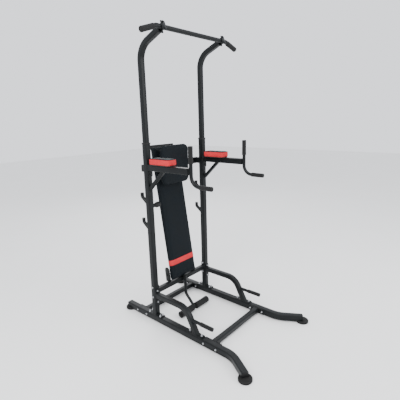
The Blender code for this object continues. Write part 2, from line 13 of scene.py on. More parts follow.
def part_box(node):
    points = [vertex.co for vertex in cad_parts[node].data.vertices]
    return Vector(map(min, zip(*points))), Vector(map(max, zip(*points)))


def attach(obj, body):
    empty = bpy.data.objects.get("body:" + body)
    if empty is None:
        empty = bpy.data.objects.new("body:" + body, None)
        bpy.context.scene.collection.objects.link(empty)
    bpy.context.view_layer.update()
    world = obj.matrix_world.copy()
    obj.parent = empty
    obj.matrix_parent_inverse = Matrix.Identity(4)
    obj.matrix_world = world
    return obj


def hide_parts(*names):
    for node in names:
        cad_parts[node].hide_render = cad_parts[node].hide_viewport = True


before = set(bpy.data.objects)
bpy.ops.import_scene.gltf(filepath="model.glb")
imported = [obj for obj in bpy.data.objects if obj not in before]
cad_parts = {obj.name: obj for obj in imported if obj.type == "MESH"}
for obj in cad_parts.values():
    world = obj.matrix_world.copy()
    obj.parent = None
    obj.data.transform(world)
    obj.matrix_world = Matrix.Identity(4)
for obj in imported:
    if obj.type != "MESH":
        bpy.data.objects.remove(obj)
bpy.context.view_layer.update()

X_AXIS = Vector((1.0, 0.0, 0.0))
Y_AXIS = Vector((0.0, 1.0, 0.0))
Z_AXIS = Vector((0.0, 0.0, 1.0))
SIDES = (("left", -1.0), ("right", 1.0))


def low(node):
    return Vector(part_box(node)[0])


def high(node):
    return Vector(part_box(node)[1])


def middle(node):
    return (low(node) + high(node)) / 2


# Places read from the frame
POST_X, POST_Y, _ = middle("lower_post_right")
POST_HALF = 0.0225
POST_FRONT = POST_Y - POST_HALF
POST_REAR = POST_Y + POST_HALF
RAIL_TOP = high("base_rail_right").z
PLATE_TOP = RAIL_TOP + 0.0063       # top of the base plates that stand on the rails
HOOK_HEIGHT = 0.077                 # from the root's centre to the tip

# Shapes that a box can't give
GAP = 0.0003                        # clearance between faces that meet
FLANGE = 0.005                      # thickness of the bolted end plates
FLANGE_CORNER = 0.006
PLUG_RISE = 0.0022                  # how far a tube's end plug stands out
BEAD_LIFT = 0.0006                  # how far a weld bead's centre stands off a face
CROSSBAR_Z = 0.034
CROSSBARS = (("crossbar_front", CROSSBAR_Z), ("crossbar_rear", CROSSBAR_Z), ("crossbar_middle", 0.261))
FLARE_CORNER = (POST_X, POST_Y - 0.7636)
FRONT_END = (0.410, POST_Y - 0.930)
FLARE_RADIUS = 0.20
BRACE_CORNER = (POST_Y - 0.3421, 0.238)
BRACE_FALL = Vector((0, -0.469, -0.883)).normalized()
BRACE_RADIUS = 0.12
BRACE_FOOT_Y = POST_Y - 0.429
STRUT_FOOT_Z = 1.105
STRUT_HEAD_Y = POST_Y - 0.166
HANDLE_BEND = 0.07
NECK = Vector((0, POST_Y, 2.0833))
NECK_RADIUS = 0.13
NECK_ANGLE = math.radians(67.8)
BAR_REACH = 0.2395
BAR_RADIUS = 0.016
BAR_BEND_X = 0.360
BAR_TIP = (0.482, -0.041)
HOOK_RISE = 0.045
HOOK_TIP_Y = POST_Y + 0.081
HOOK_DIAMETER = 0.027

# The bench, in its own frame: origin on the hinge pin, +Z along the bench
PIVOT = Vector((0, POST_Y + 0.0225, 0.335))
LEAN = math.radians(8.49)
TO_BENCH = Matrix.Translation(PIVOT) @ Matrix.Rotation(-LEAN, 4, "X")
BODY_FRAMES = {"bench": TO_BENCH}
ROLLER_AXLE = Vector((0, -0.1111, -0.3229))
LEG_TUBE_BEND = Vector((0, -0.0313, -0.2105))
ROLLER_RADIUS = 0.0275
ROLLER_REACH = (0.016, 0.170)


# Materials

class Nodes:
    """Adds nodes to a material and links them, so that each material reads top to bottom."""

    def __init__(self, name):
        self.material = bpy.data.materials.new(name)
        self.material.use_nodes = True
        self.tree = self.material.node_tree
        self.shader = self.tree.nodes["Principled BSDF"]
        self.place = self.tree.nodes.new("ShaderNodeTexCoord").outputs["Object"]

    def add(self, kind, links=None, **settings):
        node = self.tree.nodes.new(kind)
        for key, value in settings.items():
            if key in node.inputs:
                node.inputs[key].default_value = value
            else:
                setattr(node, key, value)
        for key, source in (links or {}).items():
            self.tree.links.new(source, node.inputs[key])
        return node

    def noise(self, scale, detail=4.0, roughness=0.55, vector=None):
        links = {"Vector": vector or self.place}
        node = self.add("ShaderNodeTexNoise", links, Scale=scale, Detail=detail, Roughness=roughness)
        return node.outputs["Fac"]

    def cells(self, scale, feature="F1", vector=None):
        links = {"Vector": vector or self.place}
        return self.add("ShaderNodeTexVoronoi", links, feature=feature, Scale=scale).outputs["Distance"]

    def ramp(self, source, low_at, low_value, high_at, high_value):
        settings = {"From Min": low_at, "From Max": high_at, "To Min": low_value, "To Max": high_value}
        return self.add("ShaderNodeMapRange", {"Value": source}, **settings).outputs["Result"]

    def mix(self, factor, first, second):
        node = self.add("ShaderNodeMix", data_type="RGBA")
        self.tree.links.new(factor, node.inputs[0])
        for socket, value in ((node.inputs[6], first), (node.inputs[7], second)):
            if isinstance(value, tuple):
                socket.default_value = (*value, 1.0)
            else:
                self.tree.links.new(value, socket)
        return node.outputs[2]

    def math(self, operation, first, second):
        node = self.add("ShaderNodeMath", operation=operation)
        for socket, value in zip(node.inputs, (first, second)):
            if isinstance(value, float):
                socket.default_value = value
            else:
                self.tree.links.new(value, socket)
        return node.outputs[0]

    def bump(self, height, strength, distance, below=None):
        links = {"Height": height, "Normal": below} if below else {"Height": height}
        return self.add("ShaderNodeBump", links, Strength=strength, Distance=distance).outputs["Normal"]

    def stretched(self, length):
        """The object's own coordinates, with the texture drawn out along Z."""
        return self.add("ShaderNodeMapping", {"Vector": self.place}, Scale=(1.0, 1.0, length)).outputs[0]

    def upward(self):
        """1 on faces that look up, 0 on walls and undersides."""
        normal = self.add("ShaderNodeNewGeometry").outputs["Normal"]
        split = self.add("ShaderNodeSeparateXYZ", {"Vector": normal})
        return self.ramp(split.outputs["Z"], 0.35, 0.0, 0.95, 1.0)

    def finish(self, colour, roughness, normal=None, **sockets):
        links = self.tree.links
        links.new(colour, self.shader.inputs["Base Color"])
        links.new(roughness, self.shader.inputs["Roughness"])
        if normal:
            links.new(normal, self.shader.inputs["Normal"])
        for key, value in sockets.items():
            self.shader.inputs[key.replace("_", " ")].default_value = value
        return self.material


def powder_coat():
    """Satin black powder coat: orange-peel skin, faint cloudiness, scuffs and dust on top faces."""
    look = Nodes("powder_coated_steel")
    cloud = look.ramp(look.noise(9.0, 5.0), 0.35, 0.0, 0.70, 1.0)
    paint = look.mix(cloud, (0.0038, 0.0047, 0.0052), (0.0062, 0.0074, 0.0080))
    scuff = look.ramp(look.noise(130.0, 7.0, 0.7, look.stretched(0.25)), 0.66, 0.0, 0.80, 1.0)
    paint = look.mix(look.math("MULTIPLY", scuff, 0.25), paint, (0.020, 0.022, 0.023))
    settled = look.ramp(look.noise(22.0, 6.0, 0.65), 0.38, 0.06, 0.72, 0.42)
    dust = look.math("MULTIPLY", look.upward(), settled)
    paint = look.mix(dust, paint, (0.011, 0.0115, 0.012))
    base = look.ramp(look.noise(35.0, 4.0), 0.3, 0.30, 0.7, 0.41)
    rough = look.math("ADD", base, look.math("MULTIPLY", dust, 0.22))
    peel = look.bump(look.noise(520.0, 2.0, 0.5), 0.16, 0.0006)
    peel = look.bump(look.noise(2100.0, 2.0), 0.10, 0.0002, peel)
    return look.finish(paint, rough, peel, Specular_IOR_Level=0.16)


def weld_metal():
    """The same paint over the ripples of a weld bead."""
    look = Nodes("painted_weld")
    tone = look.mix(look.noise(60.0), (0.0038, 0.0047, 0.0050), (0.0075, 0.0086, 0.0090))
    rough = look.ramp(look.noise(90.0), 0.3, 0.34, 0.7, 0.50)
    ripple = look.bump(look.noise(420.0, 3.0), 0.5, 0.0012)
    return look.finish(tone, rough, ripple, Specular_IOR_Level=0.20)


def zinc_plate():
    look = Nodes("zinc_plate")
    tone = look.mix(look.noise(240.0, 4.0), (0.34, 0.35, 0.37), (0.50, 0.50, 0.51))
    spots = look.ramp(look.noise(420.0, 6.0, 0.7), 0.60, 0.0, 0.75, 1.0)
    tone = look.mix(look.math("MULTIPLY", spots, 0.4), tone, (0.22, 0.21, 0.20))
    rough = look.ramp(look.noise(500.0, 3.0), 0.3, 0.20, 0.7, 0.38)
    grain = look.bump(look.noise(1500.0, 2.0), 0.10, 0.0002)
    return look.finish(tone, rough, grain, Metallic=1.0)


def rubber():
    look = Nodes("black_rubber")
    tone = look.mix(look.noise(70.0, 5.0), (0.0055, 0.0056, 0.0058), (0.0110, 0.0110, 0.0108))
    settled = look.ramp(look.noise(60.0, 6.0, 0.7), 0.4, 0.05, 0.7, 0.35)
    dust = look.math("MULTIPLY", look.upward(), settled)
    tone = look.mix(dust, tone, (0.016, 0.0155, 0.015))
    rough = look.ramp(look.noise(120.0, 4.0), 0.3, 0.58, 0.7, 0.80)
    skin = look.bump(look.noise(900.0, 3.0), 0.3, 0.0004)
    return look.finish(tone, rough, skin, Specular_IOR_Level=0.20)


def foam():
    """Closed-cell foam: small pores, painted darker as shade in their pits, over a slightly lumpy skin."""
    look = Nodes("black_foam")
    tone = look.mix(look.noise(55.0, 5.0), (0.0050, 0.0054, 0.0058), (0.0095, 0.0102, 0.0108))
    pores = look.ramp(look.cells(1400.0), 0.0, 0.0, 0.45, 1.0)
    # Painted shade: the colour darkens towards each pore's pit.
    tone = look.mix(look.math("MULTIPLY", pores, 0.35), (0.005, 0.005, 0.005), tone)
    rough = look.ramp(look.noise(200.0, 4.0), 0.3, 0.62, 0.7, 0.82)
    skin = look.bump(pores, 0.45, 0.0005)
    skin = look.bump(look.noise(110.0, 4.0), 0.30, 0.0010, skin)
    return look.finish(tone, rough, skin, Specular_IOR_Level=0.18, Sheen_Weight=0.03, Sheen_Roughness=0.6)


def vinyl(name, dark, light, crease_shade, gloss):
    """Grained upholstery vinyl: pebbled cells with creases between, painted shade darkening the creases, and
    wear leaving it smoother in patches.
    """
    look = Nodes(name)
    warp = look.noise(260.0, 3.0)
    bent = look.add("ShaderNodeVectorMath", {0: look.place, 1: warp}, operation="ADD")
    shift = look.add("ShaderNodeMapping", {"Vector": bent.outputs[0]})
    grain = look.ramp(look.cells(620.0, "F1", shift.outputs[0]), 0.0, 0.0, 0.60, 1.0)
    crease = look.ramp(look.cells(290.0, "DISTANCE_TO_EDGE"), 0.0, 0.0, 0.10, 1.0)
    patch = look.ramp(look.noise(14.0, 5.0, 0.6), 0.35, 0.0, 0.70, 1.0)
    tone = look.mix(patch, dark, light)
    # Painted shade: the colour is darkened along the creases between grain cells.
    tone = look.mix(look.math("MULTIPLY", look.math("SUBTRACT", 1.0, crease), 0.40), tone, crease_shade)
    wear = look.math("ADD", look.math("MULTIPLY", patch, 0.6), look.noise(90.0))
    rough = look.ramp(wear, 0.3, gloss, 1.2, gloss + 0.16)
    skin = look.bump(grain, 0.22, 0.0004)
    skin = look.bump(crease, 0.16, 0.0004, skin)
    skin = look.bump(look.noise(26.0, 3.0), 0.12, 0.0030, skin)
    return look.finish(tone, rough, skin, Specular_IOR_Level=0.12)


def thread(name, dark, light):
    look = Nodes(name)
    tone = look.mix(look.noise(900.0, 2.0), dark, light)
    rough = look.ramp(look.noise(700.0), 0.3, 0.55, 0.7, 0.75)
    twist = look.add("ShaderNodeTexWave", {"Vector": look.place}, bands_direction="DIAGONAL", Scale=900.0)
    return look.finish(tone, rough, look.bump(twist.outputs["Fac"], 0.4, 0.0003))


def plastic():
    look = Nodes("black_plastic")
    tone = look.mix(look.noise(30.0, 5.0), (0.0042, 0.0044, 0.0048), (0.0075, 0.0078, 0.0082))
    rough = look.ramp(look.noise(60.0, 4.0), 0.3, 0.36, 0.7, 0.50)
    skin = look.bump(look.cells(1100.0), 0.18, 0.0003)
    return look.finish(tone, rough, skin, Specular_IOR_Level=0.20)


def board():
    """Plywood stained black: long grain along the board."""
    look = Nodes("black_board")
    grain = look.noise(160.0, 6.0, 0.6, look.stretched(0.08))
    streak = look.ramp(grain, 0.35, 0.0, 0.65, 1.0)
    tone = look.mix(streak, (0.020, 0.017, 0.015), (0.055, 0.045, 0.037))
    rough = look.ramp(grain, 0.3, 0.62, 0.7, 0.82)
    return look.finish(tone, rough, look.bump(grain, 0.25, 0.0006))


LOOKS = {
    "steel": powder_coat(),
    "weld": weld_metal(),
    "zinc": zinc_plate(),
    "rubber": rubber(),
    "foam": foam(),
    # The third colour of each vinyl is the painted shade laid into its grain's creases.
    "vinyl": vinyl(
        "black_vinyl", (0.0016, 0.0034, 0.0050), (0.0028, 0.0054, 0.0078), (0.0010, 0.0018, 0.0024), 0.56
    ),
    "red_vinyl": vinyl(
        "coral_red_vinyl", (0.44, 0.018, 0.024), (0.54, 0.028, 0.034), (0.26, 0.010, 0.012), 0.55
    ),
    "thread": thread("black_thread", (0.006, 0.006, 0.006), (0.020, 0.020, 0.020)),
    "red_thread": thread("dark_red_thread", (0.35, 0.02, 0.015), (0.60, 0.05, 0.04)),
    "plastic": plastic(),
    "board": board(),
}


# Outlines and routes

def arc_points(centre, radius, start, end, steps):
    turns = [start + (end - start) * step / steps for step in range(steps + 1)]
    return [(centre[0] + radius * math.cos(turn), centre[1] + radius * math.sin(turn)) for turn in turns]


def rounded(low_corner, high_corner, radius, steps=6):
    """A rounded rectangle from corner to corner, counter-clockwise."""
    radii = radius if isinstance(radius, tuple) else (radius,) * 4
    points = []
    for quarter, (right, top) in enumerate(((1, 1), (0, 1), (0, 0), (1, 0))):
        size = radii[quarter]
        x = high_corner[0] - size if right else low_corner[0] + size
        y = high_corner[1] - size if top else low_corner[1] + size
        points += arc_points((x, y), size, math.pi / 2 * quarter, math.pi / 2 * (quarter + 1), steps)
    return points


def square(width, depth=None, radius=0.0065):
    deep = depth or width
    return rounded((-width / 2, -deep / 2), (width / 2, deep / 2), radius)


def circle(diameter, sides=40):
    return arc_points((0, 0), diameter / 2, 0, 2 * math.pi * (1 - 1 / sides), sides - 1)


def dense_outline(outline, step):
    """A closed outline with points about a step apart."""
    points = []
    for (u0, v0), (u1, v1) in zip(outline, outline[1:] + outline[:1]):
        count = max(1, round(math.hypot(u1 - u0, v1 - v0) / step))
        for index in range(count):
            share = index / count
            points.append((u0 + (u1 - u0) * share, v0 + (v1 - v0) * share))
    return points


TUBE_25 = square(0.025, radius=0.0045)
TUBE_40 = square(0.040)
TUBE_45 = square(0.045, radius=0.0070)


def route(corners, radius, steps=18):
    """The corner points with each inner corner rounded to an arc."""
    corners = [Vector(corner) for corner in corners]
    points = [corners[0]]
    for before, corner, after in zip(corners, corners[1:], corners[2:]):
        come = (corner - before).normalized()
        leave = (after - corner).normalized()
        turn = come.angle(leave)
        axis = come.cross(leave).normalized()
        start = corner - come * radius * math.tan(turn / 2)
        centre = start + axis.cross(come) * radius
        for step in range(steps + 1):
            points.append(centre + Matrix.Rotation(turn * step / steps, 3, axis) @ (start - centre))
    points.append(corners[-1])
    return points


# Meshes

def skin(mesh, rows, closed=False):
    """Faces between neighbouring rings of vertices, and from the last to the first if closed."""
    for first, second in zip(rows, rows[1:] + (rows[:1] if closed else [])):
        count = len(first)
        for i in range(count):
            following = (i + 1) % count
            corners = list(dict.fromkeys((first[i], first[following], second[following], second[i])))
            if len(corners) > 2:
                mesh.faces.new(corners)


def outwards(mesh):
    bmesh.ops.recalc_face_normals(mesh, faces=mesh.faces)
    return mesh


def sweep(points, side, outline, cuts=(None, None), edge=0.0008):
    """A solid bar along a flat route, with softened ends. cuts are the end faces' normals."""
    tangents = [(b - a).normalized() for a, b in zip(points, points[1:])]
    tip = 1 - edge * 2 / 0.03       # the end ring's size, for a bar about 30 mm wide
    mesh = bmesh.new()
    rings = []
    last = len(points) - 1
    for index, point in enumerate(points):
        along = tangents[max(index - 1, 0)]
        plane = (along + tangents[min(index, last - 1)]).normalized()
        if index == 0 and cuts[0]:
            plane = Vector(cuts[0])
        if index == last and cuts[1]:
            plane = Vector(cuts[1])
        normal = along.cross(side)
        slope = plane.cross(side).normalized()
        slope = slope / slope.dot(normal)
        ends = [(0.0, 1.0)]
        if edge and index == 0:
            ends = [(0.0, tip), (edge, 1.0)]
        if edge and index == last:
            ends = [(-edge, 1.0), (0.0, tip)]
        for shift, scale in ends:
            centre = point + along * shift
            rings.append([mesh.verts.new(centre + (side * u + slope * v) * scale) for u, v in outline])
    skin(mesh, rings)
    mesh.faces.new(rings[0])
    mesh.faces.new(rings[-1])
    return outwards(mesh)


def slab(outline, near, far, axes, edge=0.0010, segments=2):
    """An outline on two axes carried from near to far along the third, with softened rims."""
    third = 3 - sum(axes)
    mesh = bmesh.new()
    ends = []
    for level in (near, far):
        ring = []
        for pair in outline:
            place = [0.0, 0.0, 0.0]
            place[axes[0]], place[axes[1]], place[third] = pair[0], pair[1], level
            ring.append(mesh.verts.new(place))
        ends.append(ring)
    caps = [mesh.faces.new(ring) for ring in ends]
    skin(mesh, ends)
    outwards(mesh)
    if edge:
        rims = list({rim for cap in caps for rim in cap.edges})
        bmesh.ops.bevel(mesh, geom=rims, offset=edge, segments=segments, profile=0.5, affect="EDGES")
    return mesh


def plate(low_corner, high_corner, axes, corner=0.004, edge=0.0008):
    """A flat plate between two corners, its outline on the two given axes."""
    third = 3 - sum(axes)
    outline = rounded(
        (low_corner[axes[0]], low_corner[axes[1]]), (high_corner[axes[0]], high_corner[axes[1]]), corner, 4
    )
    return slab(outline, low_corner[third], high_corner[third], axes, edge)


def turned(profile, sides=48, ring=False, wave=None):
    """A profile of (radius, height) points turned about Z. wave(turn, radius) may change the radius."""
    mesh = bmesh.new()
    rows = []
    for radius, height in profile:
        if radius == 0:
            rows.append([mesh.verts.new((0, 0, height))] * sides)
            continue
        row = []
        for index in range(sides):
            turn = 2 * math.pi * index / sides
            size = wave(turn, radius) if wave else radius
            row.append(mesh.verts.new((size * math.cos(turn), size * math.sin(turn), height)))
        rows.append(row)
    skin(mesh, rows, ring)
    return outwards(mesh)


def pointing(place, direction):
    """The matrix that carries +Z onto a direction, at a place."""
    turn = Z_AXIS.rotation_difference(Vector(direction)).to_matrix().to_4x4()
    return Matrix.Translation(Vector(place)) @ turn


def moved(mesh, matrix):
    mesh.transform(matrix)
    return mesh


def stored(name, mesh):
    """Writes a mesh into new mesh data and frees it."""
    data = bpy.data.meshes.new(name)
    mesh.to_mesh(data)
    mesh.free()
    return data


def placed(name, data):
    """A new object in the scene."""
    made = bpy.data.objects.new(name, data)
    bpy.context.scene.collection.objects.link(made)
    return made


def merged(meshes):
    """Several meshes as one, still separate shells."""
    whole = bmesh.new()
    for mesh in meshes:
        data = stored("part", mesh)
        whole.from_mesh(data)
        bpy.data.meshes.remove(data)
    return whole


def bead(loop, radius=0.0022, sides=8):
    """A weld bead: a thin ring of round section along a closed loop of points."""
    mesh = bmesh.new()
    rows = []
    count = len(loop)
    centre = sum(loop, Vector()) / count
    for index, point in enumerate(loop):
        along = (loop[(index + 1) % count] - loop[index - 1]).normalized()
        out = (point - centre).normalized()
        lift = along.cross(out).normalized()
        out = lift.cross(along)
        size = radius * (1 + 0.12 * math.sin(index * 2.4))
        row = []
        for corner in range(sides):
            turn = 2 * math.pi * corner / sides
            row.append(mesh.verts.new(point + (out * math.cos(turn) + lift * math.sin(turn)) * size))
        rows.append(row)
    skin(mesh, rows, True)
    return outwards(mesh)


def loop_at(place, direction, side, outline):
    """An outline's points in space, square to a direction."""
    normal = Vector(direction).normalized().cross(side)
    return [Vector(place) + side * u + normal * v for u, v in dense_outline(outline, 0.003)]


# Pieces

def piece(name, mesh, look, body="stand", matrix=None, angle=38, stands_for=()):
    """A finished piece. Shapes for the bench are given in its own frame, unless a matrix says otherwise."""
    matrix = matrix or BODY_FRAMES.get(body)
    data = stored(name, moved(mesh, matrix) if matrix else mesh)
    data.materials.append(LOOKS[look])
    data.shade_smooth()
    data.set_sharp_from_angle(angle=math.radians(angle))
    made = placed(name, data)
    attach(made, body)
    if stands_for:
        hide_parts(*stands_for)
    return made


def stand_in(node, mesh, look="steel", body="stand", matrix=None, angle=38):
    """A piece with a CAD node's name, shown in its place."""
    return piece(node, mesh, look, body, matrix, angle, [node])


def bolt(place, direction, across=0.0120, head=0.0052, washer=0.0074):
    """A hex head with a chamfered, slightly domed top, on a flat washer."""
    radius = across / 2 / math.cos(math.pi / 6)
    hexagon = turned([(0, 0.0012), (radius, 0.0012), (radius, head - 0.0002), (radius * 0.86, head + 0.0010),
                      (radius * 0.80, head + 0.0012), (0, head + 0.0014)], 6)
    disc = turned([(0, 0), (washer, 0), (washer, 0.0010), (washer - 0.0003, 0.0013), (0, 0.0013)], 32)
    return [moved(shape, pointing(place, direction)) for shape in (hexagon, disc)]


def nut(place, direction, across=0.0120, height=0.0068, stud=0.0035):
    """A hex nut on a washer, with the threaded end standing proud of it."""
    shapes = bolt(place, direction, across, height)
    radius = 0.004
    ridges = []
    for turn in range(5):
        level = height + stud * turn / 5
        ridges += [(radius, level), (radius - 0.0004, level + stud / 10)]
    profile = [(0, 0.001), (radius, 0.001)] + ridges + [(radius - 0.0008, height + stud), (0, height + stud)]
    shapes.append(moved(turned(profile, 20), pointing(place, direction)))
    return shapes


def tube_plug(size, place, direction, depth=None):
    """A moulded end plug: a thin rounded cap on the tube's mouth."""
    deep = depth or size
    cap = slab(square(size - 0.0006, deep - 0.0006, 0.0062), 0, PLUG_RISE, (0, 1), 0.0009, 3)
    return moved(cap, pointing(place, direction))


# Base frame

def crossbar(name, z):
    """A 40 mm tube between two bolted end plates."""
    y = middle(name).y
    reach = high(name).x
    line = [Vector((-reach + 0.001, y, z)), Vector((reach - 0.001, y, z))]
    shapes = [sweep(line, Y_AXIS, TUBE_40, edge=0)]
    for sign in (-1, 1):
        inner, outer = sorted((sign * (reach - FLANGE), sign * reach))
        lows = (inner, low(name).y, low(name).z)
        highs = (outer, high(name).y, high(name).z)
        shapes.append(plate(lows, highs, (1, 2), FLANGE_CORNER))
    stand_in(name, merged(shapes))


def base_frame():
    width = 0.050
    tube = square(width, radius=0.0075)
    z = middle("base_rail_right").z
    for side, sign in SIDES:
        node = f"base_rail_{side}"
        rear = Vector((sign * POST_X, high(node).y - PLUG_RISE, z))
        corner = Vector((sign * FLARE_CORNER[0], FLARE_CORNER[1], z))
        tip = Vector((sign * FRONT_END[0], FRONT_END[1], z))
        out = (tip - corner).normalized()
        tip -= out * PLUG_RISE
        stand_in(node, sweep(route([rear, corner, tip], FLARE_RADIUS, 24), Z_AXIS, tube))
        plugs = [tube_plug(width, rear, Y_AXIS), tube_plug(width, tip, out)]
        piece(f"rail_plugs_{side}", merged(plugs), "plastic")
    for name, z in CROSSBARS:
        crossbar(name, z)


def foot(name, heading):
    """A round rubber foot with a grooved rim."""
    centre = middle(name)
    radius = 0.047
    top = high(name).z
    profile = [
        (0, 0), (radius - 0.005, 0), (radius - 0.0018, 0.0006), (radius - 0.0004, 0.0020), (radius, 0.0042),
        (radius, 0.0068), (radius - 0.0012, 0.0076), (radius - 0.0012, 0.0086), (radius, 0.0094),
        (radius, top - 0.0060), (radius - 0.0010, top - 0.0026), (radius - 0.0034, top - 0.0006),
        (radius - 0.0062, top), (radius - 0.0120, top), (radius - 0.0135, top - 0.0010),
        (radius - 0.0150, top), (0, top),
    ]
    place = Matrix.Translation((centre.x, centre.y, 0)) @ Matrix.Rotation(heading, 4, "Z")
    stand_in(name, turned(profile, 96), "rubber", matrix=place)


def feet():
    flare = math.atan2(FRONT_END[0] - FLARE_CORNER[0], FLARE_CORNER[1] - FRONT_END[1])
    for side, sign in SIDES:
        foot(f"rear_foot_{side}", 0)
        foot(f"front_foot_{side}", math.pi + sign * flare)


# Posts and braces

def base_plate(x, y, half_width, half_length):
    """The welded plate on which a post or a brace stands on its rail."""
    lows = (x - half_width, y - half_length, RAIL_TOP + GAP)
    return plate(lows, (x + half_width, y + half_length, PLATE_TOP), (0, 1), FLANGE_CORNER)


def post_plate(x, half_width, bottom, top):
    """The plate that bolts a brace or an arm to a post's front."""
    face = POST_FRONT - GAP
    return plate((x - half_width, face - FLANGE, bottom), (x + half_width, face, top), (0, 2), FLANGE_CORNER)


def posts():
    for side, sign in SIDES:
        node = f"lower_post_{side}"
        x = sign * POST_X
        top = high(node).z
        line = [Vector((x, POST_Y, RAIL_TOP + GAP)), Vector((x, POST_Y, top))]
        shapes = [sweep(line, X_AXIS, TUBE_45, edge=0), base_plate(x, POST_Y, 0.0245, 0.080)]
        stand_in(node, merged(shapes))
        node = f"telescope_bush_{side}"
        outline = [(x + u, POST_Y + v) for u, v in square(0.051, radius=0.0095)]
        collar = slab(outline, top + GAP, high(node).z, (0, 1), 0.0020, 3)
        stand_in(node, collar, "plastic")


def brace_y(z):
    """Where a bowed brace's falling leg is at a height."""
    return BRACE_CORNER[0] + BRACE_FALL.y * (BRACE_CORNER[1] - z) / -BRACE_FALL.z


def arches():
    for side, sign in SIDES:
        node = f"arch_brace_{side}"
        x = sign * POST_X
        corner = Vector((x, *BRACE_CORNER))
        drop = (BRACE_CORNER[1] - PLATE_TOP + 0.003) / -BRACE_FALL.z
        corners = [(x, POST_FRONT - GAP - 0.002, BRACE_CORNER[1]), corner, corner + BRACE_FALL * drop]
        shapes = [
            sweep(route(corners, BRACE_RADIUS, 26), X_AXIS, TUBE_40, (Y_AXIS, Z_AXIS), 0),
            post_plate(x, 0.0205, 0.162, high(node).z),
            base_plate(x, BRACE_FOOT_Y, 0.0215, 0.075),
        ]
        stand_in(node, merged(shapes))
        node = f"peg_grip_{side}"
        z = middle(node).z
        line = [Vector((x, brace_y(z), z)), Vector((x, low(node).y + 0.006, z))]
        piece(f"foot_peg_{side}", sweep(line, X_AXIS, circle(0.025), edge=0.001), "steel")
        grip(node, Y_AXIS * -1, 0.0155)


def sleeve(length, outer):
    """A foam sleeve's outer skin: a soft lip at its open end, a faint waist and a domed closed end."""
    lip = 0.003
    dome = 0.004
    steps = 14
    profile = [(0, 0), (outer - lip, 0), (outer - 0.0008, 0.0006), (outer + 0.00016, 0.0024)]
    for step in range(1, steps):
        share = step / steps
        waist = 0.0003 * math.sin(math.pi * share)
        profile.append((outer - waist, lip + (length - lip - dome) * share))
    profile += arc_points((outer - dome, length - dome), dome, 0, math.pi / 2, 6)
    profile.append((0, length))
    return turned(profile, 48)


def foam_piece(name, mesh, body, matrix):
    made = stand_in(name, mesh, "foam", body, matrix)


def grip(node, direction, outer):
    """A foam grip that fills its node's box along a row axis."""
    extent = high(node) - low(node)
    length = abs(extent.dot(direction))
    start = middle(node) - direction * length / 2
    foam_piece(node, sleeve(length, outer), "stand", pointing(start, direction))


def dip_station():
    for side, sign in SIDES:
        x = sign * POST_X
        node = f"dip_arm_{side}"
        top = high(node).z
        z = top - POST_HALF
        line = [Vector((x, POST_FRONT - GAP - 0.002, z)), Vector((x, low(node).y, z))]
        shapes = [sweep(line, X_AXIS, TUBE_45), post_plate(x, POST_HALF, low(node).z, top)]
        stand_in(node, merged(shapes))
        node = f"arm_strut_{side}"
        line = [Vector((x, POST_FRONT - GAP, STRUT_FOOT_Z)), Vector((x, STRUT_HEAD_Y, high(node).z))]
        stand_in(node, sweep(line, X_AXIS, TUBE_25, (Y_AXIS, Z_AXIS), 0))
        node = f"dip_handle_{side}"
        upright = f"upright_grip_{side}"
        forward = f"forward_grip_{side}"
        y = middle(upright).y
        z = middle(forward).z
        corners = [(x, y, high(upright).z - 0.006), (x, y, z), (x, low(forward).y + 0.006, z)]
        handle = sweep(route(corners, HANDLE_BEND, 24), X_AXIS, circle(0.025))
        stand_in(node, handle)
        grip(upright, Z_AXIS, 0.0163)
        grip(forward, Y_AXIS * -1, 0.0163)


def board_piece(node, axes, corner, steps, edge):
    """A rounded board that fills its node's box, its outline on the two given axes."""
    (first, second), third = axes, 3 - sum(axes)
    base, top = low(node), high(node)
    outline = rounded((base[first], base[second]), (top[first], top[second]), corner, steps)
    stand_in(node, slab(outline, base[third], top[third], axes, edge), "board")


def back_rest_frame():
    node = "back_crossbar"
    base, top = low(node), high(node)
    depth = 0.028
    height = top.z - base.z
    reach = X_AXIS * (top.x - PLUG_RISE)
    centre = Vector((0, top.y - depth / 2, middle(node).z))
    shapes = [sweep([centre - reach, centre + reach], Y_AXIS, square(depth, height, 0.0055), edge=0)]
    plugs = []
    inset = 0.001
    for sign in (-1, 1):
        inner, outer = sorted((sign * (POST_X - 0.021), sign * (top.x - inset)))
        lows = (inner, POST_REAR + GAP, base.z + inset)
        shapes.append(plate(lows, (outer, top.y - inset, top.z - inset), (0, 2), 0.005))
        plugs.append(tube_plug(height, centre + reach * sign, X_AXIS * sign, depth))
    stand_in(node, merged(shapes))
    piece("crossbar_plugs", merged(plugs), "plastic")
    node = "back_pad_bracket"
    stand_in(node, plate(low(node), high(node), (0, 2), 0.012, 0.0018))
    board_piece("back_pad_board", (0, 2), 0.042, 8, 0.0012)
    for side, _ in SIDES:
        board_piece(f"arm_pad_board_{side}", (0, 1), 0.014, 6, 0.0008)


def hooks():
    """Round bar hooks behind the posts, with a rounded tip."""
    for side, sign in SIDES:
        for level in ("low", "high"):
            node = f"hook_{level}_{side}"
            x = sign * POST_X
            top = high(node).z
            root = top - HOOK_HEIGHT
            corners = [(x, POST_REAR + GAP, root), (x, HOOK_TIP_Y, root + HOOK_RISE), (x, HOOK_TIP_Y, top)]
            bar = sweep(route(corners, 0.02, 12), X_AXIS, circle(HOOK_DIAMETER, 32), (Y_AXIS, None), 0.0026)
            stand_in(node, bar)


